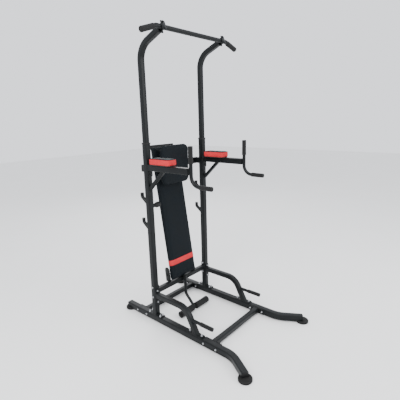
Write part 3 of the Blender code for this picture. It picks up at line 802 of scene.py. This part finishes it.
def lock_knob():
    node = "knob_bush"
    centre = middle(node)
    face = low(node).x
    length = high(node).x - face
    bore, radius = 0.0056, 0.0150
    collar = [(bore, 0), (radius, 0), (radius, length - 0.0045), (radius - 0.0004, length - 0.0036),
              (radius - 0.0028, length - 0.0004), (radius - 0.0034, length), (bore, length)]
    place = pointing((face, centre.y, centre.z), X_AXIS)
    stand_in(node, turned(collar, 48, True), "steel", matrix=place)
    node = "lock_knob"
    tip = low(node).x
    length = high(node).x - tip
    grip_radius = 0.0170

    def star(turn, radius):
        lobes = 0.5 + 0.5 * math.cos(6 * turn)
        return radius * (0.86 + 0.14 * lobes ** 0.7) if radius > grip_radius else radius

    profile = [
        (0, 0), (0.0038, 0), (0.0050, 0.0016), (0.0050, 0.0226), (0.0132, 0.0226), (0.0140, 0.0236),
        (0.0160, 0.0320), (0.0190, 0.0380), (0.0212, 0.0420), (0.0222, 0.0450), (0.0225, 0.0500),
        (0.0222, length - 0.007), (0.0205, length - 0.003), (grip_radius, length - 0.0008),
        (0.0120, length - 0.0008), (0.0110, length - 0.0018), (0.0095, length - 0.0004), (0, length),
    ]
    place = pointing((tip, centre.y, centre.z), X_AXIS)
    stand_in(node, turned(profile, 120, wave=star), "plastic", "knob", place)


# Upper frame

def upper_frame():
    tube = square(0.038, radius=0.0060)
    pad = square(0.040, 0.060, 0.006)
    reach = Vector((0, -math.sin(NECK_ANGLE), math.cos(NECK_ANGLE)))
    rear_face = BAR_REACH - BAR_RADIUS - GAP
    front_face = BAR_REACH + BAR_RADIUS + GAP
    clamp_face = front_face + 0.004
    stud_length = 2 * BAR_RADIUS + 2 * GAP
    fasteners = []
    welds = []
    for side, sign in SIDES:
        node = f"upper_post_{side}"
        neck = NECK + X_AXIS * sign * POST_X
        start = Vector((sign * POST_X, POST_Y, low(node).z))
        line = route([start, neck, neck + reach * (rear_face - 0.002)], NECK_RADIUS, 30)
        ends = [neck + reach * (rear_face - 0.004), neck + reach * rear_face]
        shapes = [sweep(line, X_AXIS, tube, edge=0), sweep(ends, X_AXIS, pad, edge=0.0006)]
        stand_in(node, merged(shapes), "steel", "upper_frame")
        node = f"bar_clamp_{side}"
        ends = [neck + reach * front_face, neck + reach * clamp_face]
        stand_in(node, sweep(ends, X_AXIS, pad, edge=0.0006), "steel", "upper_frame")
        welds.append(bead(loop_at(neck + reach * (rear_face - 0.0045), reach, X_AXIS, tube)))
        for offset in (-0.0225, 0.0225):
            place = neck + reach.cross(X_AXIS) * offset
            fasteners += bolt(place + reach * clamp_face, reach, head=0.0045)
            stud = turned([(0, 0), (0.0038, 0), (0.0038, stud_length), (0, stud_length)], 20)
            fasteners.append(moved(stud, pointing(place + reach * rear_face, reach)))
    piece("bar_clamp_bolts", merged(fasteners), "steel", "upper_frame")
    piece("neck_welds", merged(welds), "weld", "upper_frame")
    bar_centre = NECK + reach * BAR_REACH
    tip = Vector((BAR_TIP[0], 0, BAR_TIP[1]))
    along = (tip - X_AXIS * BAR_BEND_X).normalized()
    near_tip = tip - along * 0.004
    ends = [bar_centre + Vector((-near_tip.x, 0, near_tip.z)), bar_centre - X_AXIS * BAR_BEND_X,
            bar_centre + X_AXIS * BAR_BEND_X, bar_centre + near_tip]
    bar = sweep(route(ends, 0.06, 14), Y_AXIS, circle(2 * BAR_RADIUS, 48), edge=0.001)
    stand_in("pull_up_bar", bar, "steel", "upper_frame")
    for side, sign in SIDES:
        direction = Vector((sign * along.x, 0, along.z))
        start = bar_centre + Vector((sign * tip.x, 0, tip.z)) - direction * (0.106 - GAP)
        foam_piece(f"bar_grip_{side}", sleeve(0.1096, 0.0187), "upper_frame", pointing(start, direction))


# Folding bench

def bench_structure():
    beam_half, beam_deep = 0.020, 0.015
    beam_low, beam_high = -0.0457, 1.0439
    lip_low = beam_low - 0.006
    outline = rounded((-beam_half, -0.0145), (beam_half, beam_deep), 0.005)
    beam = slab(outline, beam_low, beam_high, (0, 1), 0.0006)
    lip = plate((-beam_half, -0.070, lip_low), (beam_half, 0.0, beam_low), (0, 1), 0.006)
    stand_in("bench_frame", merged([beam, lip]), "steel", "bench")
    deck = slab(rounded((-0.128, -0.0305), (0.128, 1.0399), 0.02), -0.0245, -0.0148, (0, 2), 0.001)
    stand_in("bench_board", deck, "board", "bench")
    width = 0.035
    foot_centre = Vector((0, 0, 1.0617))
    foot_reach = X_AXIS * 0.1238
    ends = [foot_centre - foot_reach, foot_centre + foot_reach]
    tube = sweep(ends, Y_AXIS, square(width, radius=0.0055), edge=0)
    stand_in("bench_t_foot", tube, "steel", "bench")
    plugs = [tube_plug(width, foot_centre + foot_reach * sign, X_AXIS * sign) for _, sign in SIDES]
    piece("t_foot_plugs", merged(plugs), "plastic", "bench")
    top = Vector((0, -0.055, lip_low))
    drop = sweep(route([top, LEG_TUBE_BEND, ROLLER_AXLE], 0.06, 14), X_AXIS, circle(0.025), (Z_AXIS, None), 0)
    near, far = ROLLER_REACH
    across = X_AXIS * (far + 0.001)
    axle = sweep([ROLLER_AXLE - across, ROLLER_AXLE + across], Y_AXIS, circle(0.020), edge=0.0012)
    stand_in("leg_hold", merged([drop, axle]), "steel", "bench")
    radius, bore, face = ROLLER_RADIUS, 0.0104, 0.020
    lip = 0.006
    profile = [(bore, near), (face, near), (radius - lip, near + 0.0004)]
    profile += arc_points((radius - lip, near + lip), lip, -math.pi / 2, 0, 6)
    for step in range(1, 12):
        share = step / 12
        waist = 0.0006 * math.sin(math.pi * share)
        profile.append((radius - waist, near + lip + (far - near - 2 * lip) * share))
    profile += arc_points((radius - lip, far - lip), lip, 0, math.pi / 2, 6)
    profile += [(face, far), (bore, far)]
    cap = [(0, 0), (0.0132, 0), (0.0136, 0.001), (0.0130, 0.0036), (0.0095, 0.0046), (0, 0.0048)]
    caps = []
    for side, sign in SIDES:
        node = f"foam_roller_{side}"
        matrix = TO_BENCH @ pointing(ROLLER_AXLE, X_AXIS * sign)
        foam_piece(node, turned(profile, 64, True), f"roller_{side}", matrix)
        outward = X_AXIS * sign
        caps.append(moved(turned(cap, 40), pointing(ROLLER_AXLE + outward * (far + 0.0002), outward)))
    piece("roller_caps", merged(caps), "plastic", "bench")
    screws = []
    for level in (0.18, 0.44, 0.70, 0.96):
        screws += bolt((0, beam_deep, level), Y_AXIS, 0.0100, 0.0035, 0.0078)
    piece("bench_screws", merged(screws), "zinc", "bench")
    foot_joint = foot_centre + Vector((0, 0.00025, -0.0178))
    beads = [
        bead(loop_at(foot_joint, Z_AXIS, X_AXIS, square(2 * beam_half, 0.0295, 0.005))),
        bead(loop_at(top - Z_AXIS * 0.0012, Z_AXIS, X_AXIS, circle(0.0255))),
    ]
    piece("bench_welds", merged(beads), "weld", "bench")


def hinge():
    ear_radius = 0.0255
    for side, _ in SIDES:
        node = f"hinge_plate_{side}"
        base, top = low(node), high(node)
        round_top = arc_points((PIVOT.y, top.z - ear_radius), ear_radius, -0.10, math.pi + 0.10, 18)
        outline = [(base.y, base.z), (top.y, base.z)] + round_top
        stand_in(node, slab(outline, base.x, top.x, (1, 2), 0.0009))
    reach = X_AXIS * high("hinge_pin").x
    pin = sweep([PIVOT - reach, PIVOT + reach], Y_AXIS, circle(0.0118, 32), edge=0.001)
    stand_in("hinge_pin", pin, "zinc")
    ends = []
    for _, sign in SIDES:
        outward = X_AXIS * sign
        ends += bolt(PIVOT + outward * (top.x + GAP), outward, 0.0150, 0.0050, 0.0100)
    piece("hinge_pin_nuts", merged(ends), "steel")


# Fasteners and welds of the stand

def through_bolt(place, direction, length):
    """A bolt at a place, and its nut a length behind it."""
    place = Vector(place)
    return bolt(place, direction) + nut(place - direction * length, -direction)


def stand_fasteners():
    shapes = []
    painted = []
    rail_half = 0.025
    front = POST_FRONT - 0.0053
    plate_nut = (0.0125, 0.0075, 0.0085)
    for _, sign in SIDES:
        outward = X_AXIS * sign
        x = sign * POST_X
        for name in ("crossbar_front", "crossbar_rear"):
            length = POST_X + rail_half - (high(name).x - FLANGE)
            for offset in (-0.056, 0.056):
                place = (x + sign * rail_half, middle(name).y + offset, CROSSBAR_Z)
                shapes += through_bolt(place, outward, length)
        length = POST_X + POST_HALF - (high("crossbar_middle").x - FLANGE)
        for z in (0.302, 0.219):
            shapes += through_bolt((x + sign * POST_HALF, POST_Y, z), outward, length)
        for z in (0.2735, 0.1785):
            shapes += through_bolt((x, front, z), -Y_AXIS, POST_REAR - front)
        arm_bolt_z = 1.2150
        painted += bolt((x, front, arm_bolt_z), -Y_AXIS)
        shapes += nut((x, POST_REAR, arm_bolt_z), Y_AXIS)
        place = (sign * 0.297, high("back_crossbar").y, middle("back_crossbar").z)
        shapes += bolt(place, Y_AXIS, 0.0130, 0.0040, 0.0080)
        for across in (-0.0150, 0.0150):
            for along in (-0.062, 0.062):
                shapes += nut((x + across, POST_Y + along, PLATE_TOP), Z_AXIS, *plate_nut)
        for along in (0.057, -0.057):
            shapes += nut((x, BRACE_FOOT_Y + along, PLATE_TOP), Z_AXIS, *plate_nut)
    piece("stand_bolts", merged(shapes), "zinc")
    piece("painted_bolts", merged(painted), "steel")


def stand_welds():
    face = POST_FRONT - 0.0058
    beads = []
    for side, sign in SIDES:
        x = sign * POST_X
        arm_top = high(f"dip_arm_{side}").z
        arm_low = arm_top - 2 * POST_HALF
        foot_y = brace_y(PLATE_TOP)
        peg_z = middle(f"peg_grip_{side}").z
        wall_y = brace_y(peg_z) - 0.0227
        stretch = 1.4               # the struts' ends are cut on the slant
        beads += [
            bead(loop_at((x, POST_Y, PLATE_TOP + 0.0008), Z_AXIS, X_AXIS, TUBE_45)),
            bead(loop_at((x, face, BRACE_CORNER[1]), Y_AXIS, X_AXIS, TUBE_40)),
            bead([Vector((x + u, foot_y + v / -BRACE_FALL.z, PLATE_TOP + 0.0008)) for u, v in TUBE_40]),
            bead(loop_at((x, face, arm_top - POST_HALF), Y_AXIS, X_AXIS, TUBE_45)),
            bead([Vector((x + u, wall_y + v * BRACE_FALL.y / BRACE_FALL.z, peg_z + v))
                  for u, v in circle(0.0255, 36)], 0.0018),
            bead([Vector((x + u, POST_FRONT - BEAD_LIFT, STRUT_FOOT_Z + v * stretch))
                  for u, v in TUBE_25], 0.0018),
            bead([Vector((x + u, STRUT_HEAD_Y + v * stretch, arm_low - 0.0004)) for u, v in TUBE_25], 0.0018),
        ]
        for name, z in CROSSBARS:
            place = (sign * (high(name).x - FLANGE - BEAD_LIFT), middle(name).y, z)
            beads.append(bead(loop_at(place, X_AXIS, Y_AXIS, TUBE_40)))
        for level in ("low", "high"):
            root = high(f"hook_{level}_{side}").z - HOOK_HEIGHT
            beads.append(bead([Vector((x + u, POST_REAR + BEAD_LIFT, root + v * 1.27))
                               for u, v in circle(HOOK_DIAMETER, 28)], 0.0016))
        # The handle's upright tube is welded to the arm's end along two short runs.
        handle_y = middle(f"upright_grip_{side}").y + 0.0110
        for edge in (-1, 1):
            start = Vector((x + edge * 0.0090, handle_y, arm_low + 0.003))
            run = [start + Z_AXIS * 0.0039 * step for step in range(11)]
            back = [point + Vector((edge * 0.0012, 0.0018, 0)) for point in reversed(run)]
            beads.append(bead(run + back, 0.0014, 6))
    base, top = low("hinge_plate_right"), high("hinge_plate_right")
    for _, sign in SIDES:
        inner, outer = sorted((sign * base.x, sign * top.x))
        ring = rounded((inner, base.y), (outer, top.y), 0.002, 3)
        beads.append(bead([Vector((u, v, base.z)) for u, v in dense_outline(ring, 0.003)], 0.0020))
    piece("stand_welds", merged(beads), "weld")


# Cushions

SETTLE_FRAMES = 20
CLOTH = {
    "vertex_group_mass": "resting", "use_pressure": True, "uniform_pressure_force": 4.0, "quality": 5,
    "mass": 0.3, "tension_stiffness": 15, "compression_stiffness": 15, "bending_stiffness": 0.8,
}
PIPING_RADIUS = 0.0016


def closed_form(box, axes, corner, steps, inset, proud, bevel):
    """A cushion before it is blown up: smaller than its box by inset all round and by proud on the sides
    it bulges towards. proud holds the allowances at the low and the high end of the third axis."""
    (u, v), third = axes, 3 - sum(axes)
    base, top = box
    outline = rounded((base[u] + inset, base[v] + inset), (top[u] - inset, top[v] - inset), corner, steps)
    return slab(outline, base[third] + proud[0], top[third] - proud[1], axes, bevel, 4)


def baked(made):
    """Gives an object the mesh its modifiers make, and removes them."""
    made.data = bpy.data.meshes.new_from_object(made.evaluated_get(bpy.context.evaluated_depsgraph_get()))
    made.modifiers.clear()


def simulated(name, mesh, voxel, cap, box, rest):
    """Foam under vinyl: the closed form is remeshed, blown up by cloth pressure with its movement capped,
    subdivided once and sized to its box. rest names the axis and end on which it lies flat."""
    made = placed(name, stored(name, mesh))
    remesh = made.modifiers.new("remesh", "REMESH")
    remesh.mode = "VOXEL"
    remesh.voxel_size = voxel
    remesh.use_smooth_shade = True
    smooth = made.modifiers.new("smooth", "SMOOTH")
    smooth.iterations = 3
    baked(made)
    axis, end = rest
    places = [vertex.co.copy() for vertex in made.data.vertices]
    extreme = (max if end else min)(place[axis] for place in places)
    resting = [index for index, place in enumerate(places) if abs(place[axis] - extreme) < voxel * 0.4]
    made.vertex_groups.new(name="resting").add(resting, 1.0, "REPLACE")
    cloth = made.modifiers.new("cloth", "CLOTH")
    for setting, value in CLOTH.items():
        setattr(cloth.settings, setting, value)
    cloth.settings.effector_weights.gravity = 0
    cloth.point_cache.frame_start = 1
    cloth.point_cache.frame_end = SETTLE_FRAMES
    for number in range(1, SETTLE_FRAMES + 1):
        bpy.context.scene.frame_set(number)
    settled = made.evaluated_get(bpy.context.evaluated_depsgraph_get()).to_mesh()
    targets = [vertex.co.copy() for vertex in settled.vertices]
    made.modifiers.clear()
    bpy.context.scene.frame_set(1)
    for vertex, start, target in zip(made.data.vertices, places, targets):
        step = target - start
        if step.length > cap:
            step = step * (cap / step.length)
        vertex.co = start + step
    made.vertex_groups.clear()
    fine = made.modifiers.new("fine", "SUBSURF")
    fine.levels = 1
    fine.render_levels = 1
    baked(made)
    fit_to_box(made, box, rest)
    made.data.shade_smooth()
    return made


def fit_to_box(made, box, rest):
    """Stretches a cushion to its box and flattens the side it rests on."""
    axis, end = rest
    flat = 0.0006
    for side in range(3):
        values = [vertex.co[side] for vertex in made.data.vertices]
        least, most = min(values), max(values)
        first = box[0][side] + GAP
        last = box[1][side] - GAP
        for vertex in made.data.vertices:
            place = first + (vertex.co[side] - least) * (last - first) / (most - least)
            if side == axis:
                place = min(place, last - flat) if end else max(place, first + flat)
            vertex.co[side] = place


def groove(made, distance, depth, width):
    """Presses a rounded groove along the line where distance(point) is 0, against the surface normals."""
    normals = [vertex.normal.copy() for vertex in made.data.vertices]
    for vertex, normal in zip(made.data.vertices, normals):
        away = distance(vertex.co)
        if away is not None and abs(away) < 4 * width:
            vertex.co -= normal * depth * math.exp(-(away / width) ** 2)


def dress(made, body, stands_for):
    """The frame's calls for a cushion, which is already in its place and has its materials."""
    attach(made, body)
    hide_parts(*stands_for)


def tree_of(made):
    mesh = bmesh.new()
    mesh.from_mesh(made.data)
    tree = BVHTree.FromBMesh(mesh)
    mesh.free()
    return tree


def surface_point(tree, place, inward):
    hit, normal, _, _ = tree.ray_cast(Vector(place), Vector(inward))
    return (hit, normal) if hit else (None, None)


def stitch_row(points, normals):
    """Short thread capsules laid along a line of surface points."""
    length, gap, radius = 0.0042, 0.0022, 0.00045
    half = length / 2
    profile = [(0, -half), (radius * 0.8, radius * 0.5 - half), (radius, -half / 2), (radius * 1.05, 0),
               (radius, half / 2), (radius * 0.8, half - radius * 0.5), (0, half)]
    shapes = []
    travelled = 0.0
    target = gap
    for before, after, normal in zip(points, points[1:], normals):
        span = (after - before).length
        while travelled + span >= target and span > 0:
            place = before.lerp(after, (target - travelled) / span) + normal * radius * 0.5
            shapes.append(moved(turned(profile, 6), pointing(place, (after - before).normalized())))
            target += length + gap
        travelled += span
    return shapes


def cord_along(points, radius=PIPING_RADIUS, sides=10):
    """Piping: a closed round cord through surface points."""
    mesh = bmesh.new()
    rows = []
    turns = [2 * math.pi * k / sides for k in range(sides)]
    out = None
    for index, point in enumerate(points):
        along = (points[(index + 1) % len(points)] - points[index - 1]).normalized()
        out = out or along.orthogonal().normalized()
        out = (out - along * out.dot(along)).normalized()
        lift = along.cross(out)
        ring = [(out * math.cos(turn) + lift * math.sin(turn)) * radius for turn in turns]
        rows.append([mesh.verts.new(point + spoke) for spoke in ring])
    skin(mesh, rows, True)
    return outwards(mesh)


def around_bench(half, front, mid_y):
    """Rays towards the pad's long axis, from its left side round the front to its right side."""
    corner = 0.014
    far = 0.2
    depth = mid_y - front - 0.012
    rays = [(Vector((-far, mid_y - depth * step / 8, 0)), X_AXIS) for step in range(9)]
    for step in range(1, 8):
        turn = math.pi / 2 * step / 8
        out = Vector((-math.cos(turn), -math.sin(turn), 0))
        rays.append((Vector((corner - half, front + corner, 0)) + out * 0.05, -out))
    flip = Vector((-1, 1, 1))
    mirrored = [(start * flip, inward * flip) for start, inward in reversed(rays)]
    width = 2 * (half - corner)
    for step in range(41):
        rays.append((Vector((corner - half + width * step / 40, front - 0.1, 0)), Y_AXIS))
    return rays + mirrored


def strip(mesh, rows, flip=False):
    """Faces between neighbouring open rows of vertices."""
    for lower, upper in zip(rows, rows[1:]):
        for a, b, c, d in zip(lower, lower[1:], upper[1:], upper):
            mesh.faces.new((a, d, c, b) if flip else (a, b, c, d))


def bench_cushion():
    """The long bench pad, its red band and the stitching beside it, in the bench's own frame."""
    half, front, rear = 0.140, -0.0645, -0.0248
    base, top = -0.0445, 1.060
    corner = 0.018
    box = ((-half, front, base), (half, rear, top))
    form = closed_form(box, (0, 2), corner, 10, 0.0030, (0.0065, 0), 0.008)
    pad = simulated("bench_pad", form, 0.0055, 0.0065, box, (1, 1))
    band_low, band_high = 0.080, 0.124
    mid_y = rear - 0.004
    for edge in (band_low, band_high):
        groove(pad, lambda p: p.z - edge if p.y < mid_y else None, 0.0014, 0.0032)
    pad.data.update()
    tree = tree_of(pad)
    rays = around_bench(half, front, mid_y)

    def wrap(level):
        hits = [surface_point(tree, start + Z_AXIS * level, inward) for start, inward in rays]
        return zip(*[hit for hit in hits if hit[0]])

    mesh = bmesh.new()
    outer, inner = [], []
    for number in range(11):
        level = band_low + (band_high - band_low) * number / 10
        puff = 0.0003 + 0.0012 * math.sin(math.pi * number / 10) ** 0.6
        points, normals = wrap(level)
        outer.append([mesh.verts.new(point + normal * puff) for point, normal in zip(points, normals)])
        inner.append([mesh.verts.new(point - normal * 0.0012) for point, normal in zip(points, normals)])
    strip(mesh, outer)
    strip(mesh, inner, True)
    for end in (0, -1):
        strip(mesh, [outer[end], inner[end]])
        strip(mesh, [[row[end] for row in outer], [row[end] for row in inner]])
    band = stand_in("bench_band", outwards(mesh), "red_vinyl", "bench", angle=60)
    seam_gap = 0.0045
    stitches = stitch_row(*wrap(band_low - seam_gap)) + stitch_row(*wrap(band_high + seam_gap))
    piece("bench_pad_stitches", merged(stitches), "thread", "bench")

    # Piping where the cover meets the boxing
    seam = seam_line(tree, ((-half, base), (half, top)), corner, 10, rear - 0.0105, (0, 2), corner, 0.006)
    piece("bench_pad_piping", cord_along(lifted(*seam, 0.0002)), "vinyl", "bench", angle=60)
    pad.data.transform(TO_BENCH)
    pad.data.materials.append(LOOKS["vinyl"])
    dress(pad, "bench", ["bench_pad"])


def seam_line(tree, box, radius, steps, level, axes, corner, step=0.004):
    """Surface points and normals all round a rounded rectangle, at one level of the third axis. Rays go
    straight in from its sides and towards the corners' centres, which lie a corner in from its edges."""
    (low_u, low_v), (high_u, high_v) = box
    hits = []
    for u, v in dense_outline(rounded(*box, radius, steps), step):
        near_u = min(max(u, low_u + corner), high_u - corner)
        near_v = min(max(v, low_v + corner), high_v - corner)
        start, inward = Vector(), Vector()
        start[axes[0]], start[axes[1]], start[3 - sum(axes)] = u, v, level
        inward[axes[0]], inward[axes[1]] = near_u - u, near_v - v
        inward.normalize()
        hits.append(surface_point(tree, start - inward * 0.05, inward))
    return zip(*[hit for hit in hits if hit[0]])


def lifted(points, normals, height):
    return [point + normal * height for point, normal in zip(points, normals)]


def back_cushion():
    node = "back_pad"
    box = low(node), high(node)
    rear = box[1].y
    form = closed_form(box, (0, 2), 0.048, 12, 0.0030, (0.0075, 0), 0.008)
    pad = simulated(node, form, 0.0055, 0.0030, box, (1, 1))
    tree = tree_of(pad)
    face = [(corner.x, corner.z) for corner in box]
    corner = 0.050
    seam = seam_line(tree, face, corner, 12, rear - 0.011, (0, 2), corner)
    piece("back_pad_piping", cord_along(lifted(*seam, 0.0002)), "vinyl", angle=60)
    stitches = stitch_row(*seam_line(tree, face, corner, 12, rear - 0.0065, (0, 2), corner))
    piece("back_pad_stitches", merged(stitches), "thread")
    pad.data.materials.append(LOOKS["vinyl"])
    dress(pad, "stand", [node])


def arm_cushions():
    """Both arm pads: a black top panel over coral-red boxing, joined by black piping."""
    node = "arm_pad_right"
    box = low(node), high(node)
    radii = (0.010, 0.010, 0.020, 0.020)
    form = closed_form(box, (0, 1), radii, 8, 0.0025, (0, 0.0060), 0.0055)
    pad = simulated(node, form, 0.0042, 0.0026, box, (2, 0))
    seam_z = box[1].z - 0.0055
    pad.data.materials.append(LOOKS["vinyl"])
    pad.data.materials.append(LOOKS["red_vinyl"])
    for polygon in pad.data.polygons:
        polygon.material_index = 0 if polygon.center.z > seam_z else 1
    tree = tree_of(pad)
    face = [(corner.x, corner.y) for corner in box]
    seam = lifted(*seam_line(tree, face, radii, 8, seam_z, (0, 1), max(radii)), 0.0003)
    stitch_line = [list(row) for row in seam_line(tree, face, radii, 8, seam_z - 0.0050, (0, 1), max(radii))]
    for side, sign in SIDES:
        mirror = Matrix.Scale(sign, 4, X_AXIS)
        made = pad
        if sign < 0:
            made = pad.copy()
            made.data = pad.data.copy()
            bpy.context.scene.collection.objects.link(made)
            made.name = "arm_pad_left"
            made.data.transform(mirror)
            made.data.flip_normals()
        cord = outwards(moved(cord_along(seam), mirror))
        piece(f"arm_pad_piping_{side}", cord, "vinyl", angle=60)
        row = outwards(moved(merged(stitch_row(*stitch_line)), mirror))
        piece(f"arm_pad_stitches_{side}", row, "red_thread")
        dress(made, "stand", [f"arm_pad_{side}"])


# Stage

def studio():
    """A pale floor, a bright even sky and three soft lights."""
    mesh = bmesh.new()
    size = 14.0
    corners = [mesh.verts.new((x * size, y * size, 0)) for x, y in ((-1, -1), (1, -1), (1, 1), (-1, 1))]
    mesh.faces.new(corners)
    ground = placed("floor", stored("floor", mesh))
    look = Nodes("pale_floor")
    tone = look.mix(look.noise(1.5, 3.0), (0.84, 0.84, 0.83), (0.88, 0.88, 0.87))
    ground.data.materials.append(look.finish(tone, look.ramp(look.noise(8.0), 0.3, 0.55, 0.7, 0.65)))
    world = bpy.data.worlds.new("studio")
    world.use_nodes = True
    sky = world.node_tree.nodes["Background"].inputs
    sky["Color"].default_value = (0.93, 0.95, 1.0, 1.0)
    sky["Strength"].default_value = 1.60
    bpy.context.scene.world = world
    softboxes = (
        ("key", (-3.2, -1.2, 3.6), 2.6, 200.0),
        ("fill", (1.6, -3.6, 2.6), 2.4, 100.0),
        ("rim", (2.4, 3.2, 3.2), 2.2, 60.0),
    )
    for name, place, size, power in softboxes:
        lamp = bpy.data.lights.new(name, "AREA")
        lamp.size = size
        lamp.energy = power
        light = placed(name, lamp)
        light.location = place
        light.rotation_euler = (Z_AXIS - Vector(place)).to_track_quat("-Z", "Y").to_euler()


def camera():
    """Stands off the front left corner, at eye height, looking slightly down."""
    place = Vector((-1.9505, -1.9445 + POST_Y, 1.6035))
    yaw = math.radians(48.738)
    pitch = math.radians(-13.387)
    roll = math.radians(-1.538)
    forward = Vector((math.sin(yaw) * math.cos(pitch), math.cos(yaw) * math.cos(pitch), math.sin(pitch)))
    right = Vector((math.cos(yaw), -math.sin(yaw), 0))
    up = right.cross(forward)
    side = right * math.cos(roll) + up * math.sin(roll)
    top = up * math.cos(roll) - right * math.sin(roll)
    lens = bpy.data.cameras.new("camera")
    lens.sensor_width = 36.0
    lens.lens = 30.894
    lens.clip_end = 100.0
    made = placed("camera", lens)
    made.matrix_world = Matrix.Translation(place) @ Matrix((side, top, -forward)).transposed().to_4x4()
    bpy.context.scene.camera = made


for build in (studio, camera, base_frame, feet, posts, arches, dip_station, back_rest_frame, hooks,
              lock_knob, upper_frame, bench_structure, hinge, stand_fasteners, stand_welds,
              bench_cushion, back_cushion, arm_cushions):
    build()
